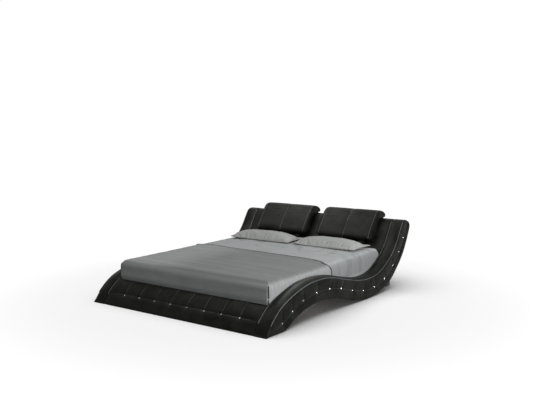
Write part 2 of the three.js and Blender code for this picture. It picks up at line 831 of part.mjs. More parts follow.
// A hinge leaf with knuckles over the given spans; its plate lies between two distances
// in front of the headboard's face
function hingeLeaf(back, front, low, spans) {
  const half = hingeWidth / 2;
  const plate = boxBetween(
    new THREE.Vector3(-half, -front, low),
    new THREE.Vector3(half, -back, low + hingeLeafHeight),
  );
  const webs = spans.map(([from, to]) => boxBetween(
    new THREE.Vector3(from, -front, hingeAxisUp),
    new THREE.Vector3(to, -back, low + hingeLeafThickness),
  ));
  const knuckles = spans.map(([from, to]) => (
    barAlongX(hingeKnuckleRadius, to - from, hingeSides)
      .translate((from + to) / 2, -hingeAxisOut, hingeAxisUp)
  ));
  const bore = barAlongX(hingeBoreRadius, hingeWidth + 2 * cutOverrun, hingeSides)
    .translate(0, -hingeAxisOut, hingeAxisUp);
  return combined(plate, [...webs, ...knuckles], [bore]);
}

function hingeBase() {
  const half = hingeWidth / 2;
  const knuckle = hingeKnuckleShare * hingeWidth;
  const spans = [[-half, knuckle - half], [half - knuckle, half]];
  return hingeLeaf(seatGap, seatGap + hingeLeafThickness, seatGap, spans);
}

function hingeArm() {
  const half = hingeWidth / 2 - hingeKnuckleShare * hingeWidth - seatGap;
  const back = boardBack - seatGap - hingeLeafThickness;
  return hingeLeaf(back, back + hingeLeafThickness, seatGap, [[-half, half]]);
}

function hingePin() {
  const half = hingeWidth / 2 + seatGap;
  const end = half + hingePinHeadLength;
  const profile = [
    new THREE.Vector2(0, -end),
    new THREE.Vector2(hingePinHeadRadius, -end),
    new THREE.Vector2(hingePinHeadRadius, -half),
    new THREE.Vector2(hingePinRadius, -half),
    new THREE.Vector2(hingePinRadius, half),
    new THREE.Vector2(hingePinHeadRadius, half),
    new THREE.Vector2(hingePinHeadRadius, end),
    new THREE.Vector2(0, end),
  ];
  const pin = new THREE.LatheGeometry(profile, hingeSides).rotateZ(Math.PI / 2);
  return pin.translate(0, -hingeAxisOut, hingeAxisUp);
}

function addHeadrest(group, side, centre) {
  const headrest = new THREE.Group();
  headrest.position.set(centre, face.origin.y, face.origin.z);
  headrest.rotation.x = Math.atan2(face.up.z, face.up.y) - Math.PI / 2;
  addPart(headrest, `${side}_headrest_cushion`, headrestCushion(), finishes.leather);
  addPart(headrest, `${side}_headrest_board`, headrestBoard(), finishes.plywood);
  const inwards = -Math.sign(centre);
  for (const [place, shift] of [["inner", inwards], ["outer", -inwards]]) {
    const x = shift * hingeSpacing / 2;
    addPart(headrest, `${side}_${place}_hinge_base`, hingeBase().translate(x, 0, 0), finishes.blackSteel);
    addPart(headrest, `${side}_${place}_hinge_arm`, hingeArm().translate(x, 0, 0), finishes.blackSteel);
    addPart(headrest, `${side}_${place}_hinge_pin`, hingePin().translate(x, 0, 0), finishes.blackSteel);
  }
  group.add(headrest);
}

// Slatted base

function addSlats(group) {
  const half = railInner - slatEndClearance;
  const first = footPlane + slatMargin + slatWidth / 2;
  const last = headPlane - slatMargin - slatWidth / 2;
  evenly(first, last, slatCount - 1).forEach((y, i) => {
    const slat = boxBetween(
      new THREE.Vector3(-half, y - slatWidth / 2, slatBottom),
      new THREE.Vector3(half, y + slatWidth / 2, slatTop),
    );
    addPart(group, `slat_${i + 1}`, slat, finishes.pine);
  });
}

function addLedgers(group) {
  const top = slatBottom - seatGap;
  const ledger = boxBetween(
    new THREE.Vector3(panelHalfWidth - ledgerWidth, footPlane + seatGap, top - ledgerHeight),
    new THREE.Vector3(panelHalfWidth, headPlane - seatGap, top),
  );
  addPart(group, "right_side_ledger", ledger, finishes.pine);
  addPart(group, "left_side_ledger", mirrored(ledger), finishes.pine);
}

// An angle bracket in the corner between a ledger and a cross member
function cornerBracket(plane, inwards) {
  const corner = panelHalfWidth - ledgerWidth - seatGap;
  const top = slatBottom - 2 * seatGap;
  const near = plane + inwards * seatGap;
  const span = (from, to) => [Math.min(from, to), Math.max(from, to)];
  const [plateLow, plateHigh] = span(near, near + inwards * bracketThickness);
  const [armLow, armHigh] = span(near, near + inwards * bracketLeg);
  const plate = boxBetween(
    new THREE.Vector3(corner - bracketLeg, plateLow, top - bracketHeight),
    new THREE.Vector3(corner, plateHigh, top),
  );
  const arm = boxBetween(
    new THREE.Vector3(corner - bracketThickness, armLow, top - bracketHeight),
    new THREE.Vector3(corner, armHigh, top),
  );
  return combined(plate, [arm], []);
}

function addCornerBrackets(group) {
  for (const [place, plane, inwards] of [["foot", footPlane, 1], ["head", headPlane, -1]]) {
    const bracket = cornerBracket(plane, inwards);
    addPart(group, `right_${place}_bracket`, bracket, finishes.steel);
    addPart(group, `left_${place}_bracket`, mirrored(bracket), finishes.steel);
  }
}

function addCentreBeam(group) {
  const top = slatBottom - seatGap;
  const beam = boxBetween(
    new THREE.Vector3(-beamWidth / 2, footPlane + seatGap, top - beamHeight),
    new THREE.Vector3(beamWidth / 2, headPlane - seatGap, top),
  );
  addPart(group, "centre_beam", beam, finishes.pine);
}

function centreLeg() {
  const top = slatBottom - 2 * seatGap - beamHeight;
  const bottom = footHeight + seatGap;
  const profile = [
    new THREE.Vector2(0, bottom + legBoreDepth),
    new THREE.Vector2(legBoreRadius, bottom + legBoreDepth),
    new THREE.Vector2(legBoreRadius, bottom),
    new THREE.Vector2(legRadius, bottom),
    new THREE.Vector2(legRadius, top),
    new THREE.Vector2(0, top),
  ];
  return new THREE.LatheGeometry(profile, legSides).rotateX(Math.PI / 2);
}

function levellingFoot() {
  const profile = [
    new THREE.Vector2(0, 0),
    new THREE.Vector2(footRadius, 0),
    new THREE.Vector2(footRadius, footHeight / 2),
    new THREE.Vector2(legRadius, footHeight),
    new THREE.Vector2(stemRadius, footHeight),
    new THREE.Vector2(stemRadius, footHeight + stemHeight),
    new THREE.Vector2(0, footHeight + stemHeight),
  ];
  return new THREE.LatheGeometry(profile, legSides).rotateX(Math.PI / 2);
}

function addCentreLegs(group) {
  legPlaceShares.forEach((share, i) => {
    const y = footPlane + share * (headPlane - footPlane);
    addPart(group, `centre_leg_${i + 1}`, centreLeg().translate(0, y, 0), finishes.blackSteel);
    addPart(group, `levelling_foot_${i + 1}`, levellingFoot().translate(0, y, 0), finishes.plastic);
  });
}

// Block foot whose top follows the underside of the band
function rearFoot() {
  const rear = overallLength / 2 - rearFootFromEnd;
  const lastRising = (railBottomShares.length - 3) / (railBottomShares.length - 1);
  const top = evenly(rear, rear - rearFootDepth, rearFootSteps).map((y) => {
    const place = solveRising((at) => bandAt(at).bottom.y, y, 0, lastRising);
    return [y, bandAt(place).bottom.z - 2 * seatGap];
  });
  const outline = [[rear - rearFootDepth, 0], [rear, 0], ...top];
  const outer = railInner + rearFootOutset;
  return prismAlongX(outline, outer - rearFootWidth, outer);
}

function addRearFeet(group) {
  const foot = rearFoot();
  addPart(group, "right_rear_foot", foot, finishes.plastic);
  addPart(group, "left_rear_foot", mirrored(foot), finishes.plastic);
}

// Mattress and bedding

function roundedRectangle(halfWidth, halfLength, headCornerRadius, footCornerRadius) {
  const corners = [[1, 1], [-1, 1], [-1, -1], [1, -1]];
  return corners.flatMap(([sideX, sideY], corner) => {
    const radius = sideY > 0 ? headCornerRadius : footCornerRadius;
    return evenly(corner, corner + 1, slabCornerSteps).map((turn) => {
      const angle = turn * Math.PI / 2;
      return new THREE.Vector2(
        sideX * (halfWidth - radius) + radius * Math.cos(angle),
        sideY * (halfLength - radius) + radius * Math.sin(angle),
      );
    });
  });
}

// Rise of the mattress's crown at a distance inwards from its sides
function crownAt(inset) {
  const along = (inset - mattressEdgeRadius) / crownSpan;
  const next = crownShares.findIndex(([share]) => share > along);
  if (next < 1) {
    return next < 0 ? mattressCrown : 0;
  }
  const [from, low] = crownShares[next - 1];
  const [to, high] = crownShares[next];
  return mattressCrown * (low + (high - low) * (along - from) / (to - from));
}

// Height of a point of the bedding, which is a little thicker towards the head
function plumped(y, z) {
  const along = (y - mattressFoot) / mattressLength;
  return mattressBase + (z - mattressBase) * (1 + mattressHeadRiseShare * along);
}

// The mattress's form grown by an offset, from the given layers up to its crowned top
function slab(offset, lowLayers) {
  const edge = mattressEdgeRadius + offset;
  const arc = evenly(0, Math.PI / 2, slabEdgeSteps).map((angle) => (
    [edge * (1 - Math.cos(angle)) - offset, mattressTop - mattressEdgeRadius + edge * Math.sin(angle)]
  ));
  const crown = crownShares.slice(1).map(([share, rise]) => (
    [mattressEdgeRadius + share * crownSpan, mattressTop + offset + rise * mattressCrown]
  ));
  const rings = [...lowLayers, ...arc, ...crown].map(([inset, z]) => {
    const radii = [mattressHeadCornerRadius, mattressFootCornerRadius].map((radius) => (
      Math.max(radius - inset, mattressBottomRadius)
    ));
    const outline = roundedRectangle(mattressWidth / 2 - inset, mattressLength / 2 - inset, ...radii);
    return outline.map((point) => {
      const y = point.y + mattressCentre;
      return new THREE.Vector3(point.x, y, plumped(y, z));
    });
  });
  return loft(rings);
}

function mattress() {
  return slab(0, [[mattressBottomRadius, mattressBase], [0, mattressBase + mattressBottomRadius]]);
}

// A cover over the mattress's top and sides, open underneath
function bedCover(innerOffset, outerOffset) {
  const outer = slab(outerOffset, [[-outerOffset, mattressBase]]);
  const inner = slab(innerOffset, [[-innerOffset, mattressBase - cutOverrun]]);
  return combined(outer, [], [inner]);
}

// The coverlet ends across the bed with rounded corners
function coverlet() {
  const half = railInner;
  const start = beddingFoot - cutOverrun;
  const end = beddingFoot + coverletLength;
  const cornerX = half - coverletCornerRadius;
  const cornerY = end - coverletCornerRadius;
  const plan = new THREE.Shape();
  plan.moveTo(-half, start);
  plan.lineTo(half, start);
  plan.lineTo(half, cornerY);
  plan.absarc(cornerX, cornerY, coverletCornerRadius, 0, Math.PI / 2);
  plan.absarc(-cornerX, cornerY, coverletCornerRadius, Math.PI / 2, Math.PI);
  const top = mattressTop + mattressCrown + coverletOffset;
  const depth = plumped(mattressHead, top) - mattressBase + 2 * cutOverrun;
  const reach = new THREE.ExtrudeGeometry(plan, { depth, bevelEnabled: false, curveSegments: slabEdgeSteps });
  reach.translate(0, 0, mattressBase - cutOverrun);
  const cover = bedCover(coverletInnerOffset, coverletOffset);
  return geometryOf(solidOf(cover).intersect(solidOf(reach)));
}

// A plump pillow that lies on the sheet, a hand's breadth from the headboard
function pillow(pillowWidth) {
  const rearHeight = mattressTop + mattressCrown + sheetOffset + pillowRearLift;
  const rearPlace = topPlaceAtHeight(rearHeight, topPlaceOfPlane(headPlane), 1);
  const rear = topCurve.getPoint(rearPlace).y - pillowRearClearance;
  const centre = rear - pillowDepth / 2;
  const contact = centre - pillowDepth / 2 * pillowContactShare;
  const sheetTop = mattressTop + crownAt(mattressHead - contact) + sheetOffset;
  const base = plumped(contact, sheetTop) + seatGap;
  const rings = evenly(-1, 1, pillowSteps).map((along) => {
    const swell = (1 - Math.abs(along) ** pillowEndPower) ** pillowFillPower;
    const fill = pillowEndShare + (1 - pillowEndShare) * swell;
    const bow = 1 - along * along;
    return pillowSectionShares.map(([across, up]) => new THREE.Vector3(
      pillowWidth / 2 * along * (1 - pillowEndDrawShare * (1 - across * across)),
      centre + pillowDepth / 2 * across * (1 - pillowSideDrawShare * bow),
      base + pillowHeight * (pillowSeamShare + (up - pillowSeamShare) * fill),
    ));
  });
  return loft(rings);
}

function addBedding(group) {
  addPart(group, "mattress", mattress(), finishes.ticking);
  addPart(group, "fitted_sheet", bedCover(seatGap, sheetOffset), finishes.sheet);
  addPart(group, "coverlet", coverlet(), finishes.coverlet);
  addPart(group, "left_pillow", pillow(leftPillowWidth).translate(leftPillowCentre, 0, 0), finishes.sheet);
  addPart(group, "right_pillow", pillow(rightPillowWidth).translate(rightPillowCentre, 0, 0), finishes.sheet);
}

const bed = new THREE.Group();
bed.name = "leather_bed";
addRails(bed);
addFootboard(bed);
addHeadboard(bed);
addHeadrest(bed, "left", leftHeadrestCentre);
addHeadrest(bed, "right", rightHeadrestCentre);
addLedgers(bed);
addCentreBeam(bed);
addCentreLegs(bed);
addSlats(bed);
addCornerBrackets(bed);
addRearFeet(bed);
addBedding(bed);

export default bed;
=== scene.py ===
"""A leather platform bed: covers, buttons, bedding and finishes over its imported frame.

Metres, in the frame of the CAD model: X across the bed, +Y towards the headboard, +Z up.
"""
from __future__ import annotations

import itertools
import json
import logging
import math
from contextlib import contextmanager
from dataclasses import dataclass, field
from enum import Enum
from typing import Callable, Iterable, Iterator, Sequence, Union

import bmesh
import bpy
import numpy as np
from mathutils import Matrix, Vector

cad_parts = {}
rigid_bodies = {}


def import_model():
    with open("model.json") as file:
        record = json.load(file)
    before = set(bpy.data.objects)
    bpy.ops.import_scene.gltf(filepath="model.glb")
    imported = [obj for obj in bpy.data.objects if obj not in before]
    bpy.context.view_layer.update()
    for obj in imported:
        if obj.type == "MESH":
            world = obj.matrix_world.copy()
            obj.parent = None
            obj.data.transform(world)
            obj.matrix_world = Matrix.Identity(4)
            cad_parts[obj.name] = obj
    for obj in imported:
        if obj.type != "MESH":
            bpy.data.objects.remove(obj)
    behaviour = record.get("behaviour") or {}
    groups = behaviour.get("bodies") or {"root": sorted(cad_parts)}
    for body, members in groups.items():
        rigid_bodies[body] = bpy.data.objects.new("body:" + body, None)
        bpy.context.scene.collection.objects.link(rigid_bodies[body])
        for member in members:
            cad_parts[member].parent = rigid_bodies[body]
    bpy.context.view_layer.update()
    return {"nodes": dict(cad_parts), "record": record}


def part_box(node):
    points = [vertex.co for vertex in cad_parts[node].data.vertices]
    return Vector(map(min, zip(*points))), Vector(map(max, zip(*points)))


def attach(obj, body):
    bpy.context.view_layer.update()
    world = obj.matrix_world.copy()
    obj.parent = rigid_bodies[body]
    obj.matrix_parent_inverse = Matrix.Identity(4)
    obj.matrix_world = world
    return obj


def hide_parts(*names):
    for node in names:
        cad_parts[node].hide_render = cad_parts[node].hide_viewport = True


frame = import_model()

LOG = logging.getLogger("leather_bed")
Array = np.ndarray
Pair = tuple[float, float]
Triple = tuple[float, float, float]
Colour = tuple[float, float, float, float]
Shares = tuple[Pair, ...]
Piece = bpy.types.Object
Node = bpy.types.Node
Socket = bpy.types.NodeSocket
NodeTree = bpy.types.NodeTree
SocketInput = Union[float, Sequence[float], Socket]
SkinRule = Callable[[Array, Array], Array]

QUARTER_TURN = math.pi / 2
SEAT_GAP = 0.0003
CUT_PAST = 0.01
WELD = 1e-5
STEP, FINE_STEP = 0.016, 0.0016
STEP_GROWTH = 1.32
SEAM_LIFT = 0.0006
CRYSTAL_LIFT = 0.0045
# Name of the vertex attribute that holds painted shade, by which the cloth finishes darken their
# colour.
PAINTED_SHADE = "fold"


class Side(Enum):
    """A side of the bed, seen from the foot end."""

    LEFT = -1
    RIGHT = 1

    @property
    def label(self) -> str:
        """The start of the names of this side's pieces."""
        return self.name.lower()


class Body(Enum):
    """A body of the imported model."""

    BED = "bed"
    LEFT_HEADREST = "left_headrest"
    RIGHT_HEADREST = "right_headrest"

    @classmethod
    def of_headrest(cls, side: Side) -> Body:
        """The body of the headrest on one side."""
        return cls(f"{side.label}_headrest")


# Arrays and curves


class Noise:
    """Smooth noise from a fixed seed, between about -1 and 1."""

    SIZE = 32

    def __init__(self, seed: int) -> None:
        """Fills the table of lattice values.

        Args:
            seed: number that fixes the pattern.
        """
        self.table = np.random.default_rng(seed).uniform(-1, 1, (self.SIZE,) * 3)

    def __call__(self, points: Array, scale: Sequence[float]) -> Array:
        """Samples the noise.

        Args:
            points: array (..., 3) of places.
            scale: cells per metre along each axis.

        Returns:
            One value for each place.
        """
        place = points * np.asarray(scale) + 100
        cell = np.floor(place).astype(int)
        share = place - cell
        share = share * share * (3 - 2 * share)
        total = np.zeros(points.shape[:-1])
        for corner in itertools.product((0, 1), repeat=3):
            index = (cell + np.array(corner)) % self.SIZE
            weight = np.where(corner, share, 1 - share).prod(-1)
            total += weight * self.table[index[..., 0], index[..., 1], index[..., 2]]
        return total


def spline(points: Array, places: Array) -> Array:
    """Centripetal curve through points, the same as the CAD source draws.

    Args:
        points: array (count, axes) that the curve passes through.
        places: shares of the curve from 0 to 1.

    Returns:
        A point for each place.
    """
    last = len(points) - 1
    along = np.clip(places, 0, 1) * last
    index = np.minimum(along.astype(int), last - 1)
    share = (along - index)[:, None]
    ends = np.vstack([2 * points[0] - points[1], points, 2 * points[-1] - points[-2]])
    p0, p1, p2, p3 = (ends[index + k] for k in range(4))

    def span(a: Array, b: Array) -> Array:
        """Square root of the distance between points."""
        return np.maximum(((b - a) ** 2).sum(-1, keepdims=True) ** 0.25, 1e-9)

    d0, d1, d2 = span(p0, p1), span(p1, p2), span(p2, p3)
    start = ((p1 - p0) / d0 - (p2 - p0) / (d0 + d1) + (p2 - p1) / d1) * d1
    end = ((p2 - p1) / d1 - (p3 - p1) / (d1 + d2) + (p3 - p2) / d2) * d1
    square = -3 * p1 + 3 * p2 - 2 * start - end
    cube = 2 * p1 - 2 * p2 + start + end
    return p1 + start * share + square * share**2 + cube * share**3


def closed_spline(points: Array, count: int) -> Array:
    """Evenly drawn closed curve through points.

    Args:
        points: array (count, axes) round the loop, without a repeat of the first.
        count: number of points wanted.

    Returns:
        Points at even distances round the loop.
    """
    looped = np.vstack([points[-2:], points, points[:3]])
    last = len(looped) - 1
    places = np.linspace(2 / last, (2 + len(points)) / last, 40 * len(points) + 1)
    return evenly_spaced(spline(looped, places), count + 1)[:-1]


def distances(path: Array) -> Array:
    """Distance along a path at each of its points."""
    return np.concatenate([[0], np.cumsum(np.linalg.norm(np.diff(path, axis=0), axis=1))])


def at_distances(path: Array, wanted: Array) -> Array:
    """Points of a path at distances along it."""
    reached = distances(path)
    return np.stack([np.interp(wanted, reached, axis) for axis in path.T], -1)


def evenly_spaced(path: Array, count: int) -> Array:
    """A path drawn again with a number of evenly spaced points."""
    return at_distances(path, np.linspace(0, distances(path)[-1], count))


def clustered(start: float, end: float, centres: Iterable[float], spacing: float,
              finest: float) -> Array:
    """Stations that lie closer together near some centres.

    Args:
        start: first station.
        end: last station.
        centres: where the stations are finest.
        spacing: widest step.
        finest: step beside a centre.

    Returns:
        Rising stations, with each centre among them.
    """
    offsets = [0.0]
    step = finest
    while step < spacing:
        offsets.append(offsets[-1] + step)
        step *= STEP_GROWTH
    near = {round(c + sign * o, 6) for c in centres for o in offsets for sign in (-1, 1)}
    fixed = sorted({start, end, *(v for v in near if start < v < end)})
    stations = [fixed[0]]
    for value in fixed[1:]:
        gap = value - stations[-1]
        if gap < finest * 0.6:
            continue
        pieces = max(1, math.ceil(gap / spacing))
        stations.extend(np.linspace(stations[-1], value, pieces + 1)[1:])
    stations[-1] = end
    return np.array(stations)


def bump(distance: Array, width: float) -> Array:
    """Bell that is 1 at no distance and fades over a width."""
    return np.exp(-((distance / width) ** 2))


def smooth_step(low: float, high: float, value: Array) -> Array:
    """Smooth rise from 0 at low to 1 at high."""
    share = np.clip((value - low) / (high - low), 0, 1)
    return share * share * (3 - 2 * share)


def outline_normals(outline: Array) -> Array:
    """Outward unit normals of a closed outline.

    Args:
        outline: array (count, 2) round the loop.

    Returns:
        A normal for each point.
    """
    ahead = np.roll(outline, -1, 0) - outline
    behind = outline - np.roll(outline, 1, 0)
    ahead /= np.linalg.norm(ahead, axis=1, keepdims=True)
    behind /= np.linalg.norm(behind, axis=1, keepdims=True)
    tangent = ahead + behind
    tangent /= np.linalg.norm(tangent, axis=1, keepdims=True)
    following = np.roll(outline, -1, 0)
    area = (outline[:, 0] * following[:, 1] - following[:, 0] * outline[:, 1]).sum()
    return np.stack([tangent[:, 1], -tangent[:, 0]], -1) * math.copysign(1, area)


# Meshes


def new_object(name: str, data: bpy.types.ID) -> Piece:
    """Adds an object to the scene at the origin."""
    piece = bpy.data.objects.new(name, data)
    bpy.context.scene.collection.objects.link(piece)
    return piece


@contextmanager
def opened(mesh: bpy.types.Mesh) -> Iterator[bmesh.types.BMesh]:
    """Opens a mesh for editing, and writes it back with its faces pointing outwards."""
    shell = bmesh.new()
    shell.from_mesh(mesh)
    yield shell
    bmesh.ops.recalc_face_normals(shell, faces=shell.faces)
    shell.to_mesh(mesh)
    shell.free()


def shaded(mesh: bpy.types.Mesh, smooth: bool) -> None:
    """Shades all faces of a mesh smooth or flat."""
    mesh.polygons.foreach_set("use_smooth", [smooth] * len(mesh.polygons))


def built(name: str, vertices: Array, faces: Sequence[Sequence[int]],
          edges: Sequence[Sequence[int]] = ()) -> Piece:
    """Makes an object from vertices and faces, welded and with its faces pointing outwards.

    Args:
        name: the object's name.
        vertices: array (count, 3).
        faces: vertex numbers of each face.
        edges: vertex numbers of loose edges.

    Returns:
        The new object.
    """
    mesh = bpy.data.meshes.new(name)
    mesh.from_pydata(vertices.tolist(), [list(e) for e in edges], [list(f) for f in faces])
    if faces:
        with opened(mesh) as shell:
            bmesh.ops.remove_doubles(shell, verts=shell.verts, dist=WELD)
            bmesh.ops.dissolve_degenerate(shell, edges=shell.edges, dist=WELD)
        shaded(mesh, True)
    return new_object(name, mesh)


def grid_faces(rows: int, columns: int, closed: bool, first: int = 0) -> list[list[int]]:
    """Faces between the rows of a grid of vertices.

    Args:
        rows: number of rows.
        columns: vertices in a row.
        closed: whether each row is a loop.
        first: number of the grid's first vertex.

    Returns:
        Four vertex numbers for each face.
    """
    row, column = np.meshgrid(np.arange(rows - 1), np.arange(columns if closed else columns - 1),
                              indexing="ij")
    after = (column + 1) % columns
    quads = np.stack([row * columns + column, row * columns + after,
                      (row + 1) * columns + after, (row + 1) * columns + column], -1)
    return (quads.reshape(-1, 4) + first).tolist()


def loft(name: str, rings: Array) -> Piece:
    """A closed skin through rings of points, with its ends capped.

    Args:
        name: the object's name.
        rings: array (rings, points, 3).

    Returns:
        The new object.
    """
    rows, columns = rings.shape[:2]
    faces = grid_faces(rows, columns, True)
    faces.append(list(range(columns)))
    faces.append(list(range((rows - 1) * columns, rows * columns)))
    return built(name, rings.reshape(-1, 3), faces)


def domed(rings: Array, bulge: float, steps: int = 5) -> Array:
    """Adds rings that close both ends of a loft with shallow domes.

    Args:
        rings: array (rings, points, 3).
        bulge: how far each dome stands out.
        steps: rings in each dome.

    Returns:
        The longer array.
    """
    def dome(end: Array, inner: Array) -> list[Array]:
        """Rings from an end ring in to its middle."""
        middle = end.mean(0)
        out = middle - inner.mean(0)
        out /= np.linalg.norm(out)
        angles = np.linspace(0, QUARTER_TURN, steps + 2)[1:-1]
        return [middle + (end - middle) * math.cos(a) + out * bulge * math.sin(a) for a in angles]

    head = dome(rings[-1], rings[-3])
    foot = dome(rings[0], rings[2])[::-1]
    return np.stack([*foot, *rings, *head])


def prism(name: str, outline: Array, low: float, high: float) -> Piece:
    """An outline in the Y-Z plane, drawn out along X."""
    rings = np.stack([np.column_stack([np.full(len(outline), x), outline]) for x in (low, high)])
    return loft(name, rings)


def applied(piece: Piece) -> Piece:
    """Bakes an object's modifiers into its mesh."""
    evaluated = piece.evaluated_get(bpy.context.evaluated_depsgraph_get())
    mesh = bpy.data.meshes.new_from_object(evaluated)
    piece.modifiers.clear()
    old = piece.data
    piece.data = mesh
    mesh.name = piece.name
    bpy.data.meshes.remove(old)
    return piece


def hollowed(piece: Piece, cutter: Piece) -> Piece:
    """Takes a cutter's space out of a piece and removes the cutter."""
    cut = piece.modifiers.new("Hollow", "BOOLEAN")
    cut.operation = "DIFFERENCE"
    cut.solver = "EXACT"
    cut.object = cutter
    applied(piece)
    bpy.data.objects.remove(cutter)
    return piece


def subdivided(piece: Piece) -> Piece:
    """Smooths a piece with one subdivision."""
    smooth = piece.modifiers.new("Smooth", "SUBSURF")
    smooth.levels = smooth.render_levels = 1
    return applied(piece)


def thickened(piece: Piece, thickness: float) -> Piece:
    """Gives an open skin a wall on its inner side."""
    wall = piece.modifiers.new("Wall", "SOLIDIFY")
    wall.thickness = thickness
    wall.offset = -1
    return applied(piece)


def coordinates(piece: Piece) -> tuple[Array, Array]:
    """Places and normals of a piece's vertices."""
    count = len(piece.data.vertices)
    places, normals = np.empty(count * 3), np.empty(count * 3)
    piece.data.vertices.foreach_get("co", places)
    piece.data.vertices.foreach_get("normal", normals)
    return places.reshape(-1, 3), normals.reshape(-1, 3)


def place_vertices(piece: Piece, places: Array) -> None:
    """Moves a piece's vertices to new places."""
    piece.data.vertices.foreach_set("co", places.ravel())
    piece.data.update()


def displaced(piece: Piece, amount: SkinRule) -> Piece:
    """Moves a piece's vertices along their normals.

    Args:
        piece: the object.
        amount: gives each vertex's outward move from its place and normal.

    Returns:
        The same object.
    """
    places, normals = coordinates(piece)
    place_vertices(piece, places + normals * amount(places, normals)[:, None])
    return piece


def marked(piece: Piece, folds: SkinRule) -> Piece:
    """Stores a share of painted shade for each vertex, for the cloth finishes to darken their
    colour by.

    Args:
        piece: the object.
        folds: gives each vertex's share of painted shade from 0 to 1 from its place and normal.

    Returns:
        The same object.
    """
    attribute = piece.data.attributes.new(PAINTED_SHADE, "FLOAT", "POINT")
    attribute.data.foreach_set("value", np.clip(folds(*coordinates(piece)), 0, 1))
    return piece


def path_mesh(paths: Iterable[Array]) -> Piece:
    """A mesh of loose edges along paths, for the node trees to follow."""
    vertices, edges = [], []
    for path in paths:
        first = sum(len(v) for v in vertices)
        vertices.append(path)
        edges.extend((first + i, first + i + 1) for i in range(len(path) - 1))
    return built("path", np.vstack(vertices), [], edges)


def snapped(path: Array, piece: Piece, lift: float) -> Array:
    """Moves a path's points onto a piece's skin.

    Args:
        path: array (count, 3).
        piece: object whose skin is wanted.
        lift: height over the skin.

    Returns:
        The moved points.
    """
    shown = piece.evaluated_get(bpy.context.evaluated_depsgraph_get())
    moved = []
    for point in path:
        hit, place, normal, _ = shown.closest_point_on_mesh(Vector(point))
        moved.append(place + normal * lift if hit else Vector(point))
    return np.array(moved)


# Geometry Nodes


class Graph:
    """Adds nodes and links to one node tree."""

    def __init__(self, tree: NodeTree) -> None:
        """Keeps the tree that the nodes go into."""
        self.tree = tree

    def add(self, kind: str, inputs: dict[Union[int, str], SocketInput] | None = None,
            **settings: object) -> Node:
        """Adds a node.

        Args:
            kind: the node's type name.
            inputs: values or sockets for its inputs, by name or number.
            settings: its properties.

        Returns:
            The new node.
        """
        node = self.tree.nodes.new(kind)
        for key, value in settings.items():
            setattr(node, key, value)
        self.set(node, inputs or {})
        return node

    def set(self, node: Node, inputs: dict[Union[int, str], SocketInput]) -> None:
        """Sets a node's inputs to values, or links sockets into them."""
        for key, value in inputs.items():
            if isinstance(value, Socket):
                self.tree.links.new(value, node.inputs[key])
            else:
                node.inputs[key].default_value = value

    def socket(self, name: str, kind: str, way: str = "INPUT") -> bpy.types.NodeTreeInterfaceSocket:
        """Adds an input or output to the tree itself."""
        return self.tree.interface.new_socket(name, in_out=way, socket_type=f"NodeSocket{kind}")

    def group(self, tree: NodeTree, vector: Socket, **values: SocketInput) -> Node:
        """Adds a shader group that reads a vector."""
        return self.add("ShaderNodeGroup", {"Vector": vector, **values}, node_tree=tree)

    def math(self, operation: str, *values: SocketInput) -> Socket:
        """Adds a Math node on numbers or sockets and returns its result."""
        return self.add("ShaderNodeMath", dict(enumerate(values)), operation=operation).outputs[0]

    def mapped(self, value: Socket, low: float, high: float, to_low: float,
               to_high: float) -> Socket:
        """Maps a value smoothly from one range to another and returns the result."""
        return self.add("ShaderNodeMapRange", {
            "Value": value, "From Min": low, "From Max": high, "To Min": to_low, "To Max": to_high,
        }, interpolation_type="SMOOTHSTEP").outputs["Result"]

    def mixed(self, share: SocketInput, first: SocketInput, second: SocketInput) -> Socket:
        """Mixes two colours and returns the result."""
        return self.add("ShaderNodeMix", {0: share, 6: first, 7: second},
                        data_type="RGBA").outputs[2]

    def grey(self, value: Socket) -> Socket:
        """Turns a value into a grey colour."""
        return self.add("ShaderNodeCombineColor", {0: value, 1: value, 2: value}).outputs[0]

    def noise(self, vector: SocketInput, scale: SocketInput, detail: float) -> Socket:
        """Adds a noise texture and returns its value."""
        return self.add("ShaderNodeTexNoise", {
            "Vector": vector, "Scale": scale, "Detail": detail, "Roughness": 0.55,
        }).outputs[0]

    def stretched(self, vector: Socket, scale: SocketInput) -> Socket:
        """Scales a vector along each axis and returns it."""
        return self.add("ShaderNodeMapping", {0: vector, "Scale": scale}).outputs[0]

    def bump(self, height: Socket, strength: float, distance: float) -> Socket:
        """Turns a height into a normal."""
        return self.add("ShaderNodeBump", {
            "Height": height, "Strength": strength, "Distance": distance,
        }).outputs[0]


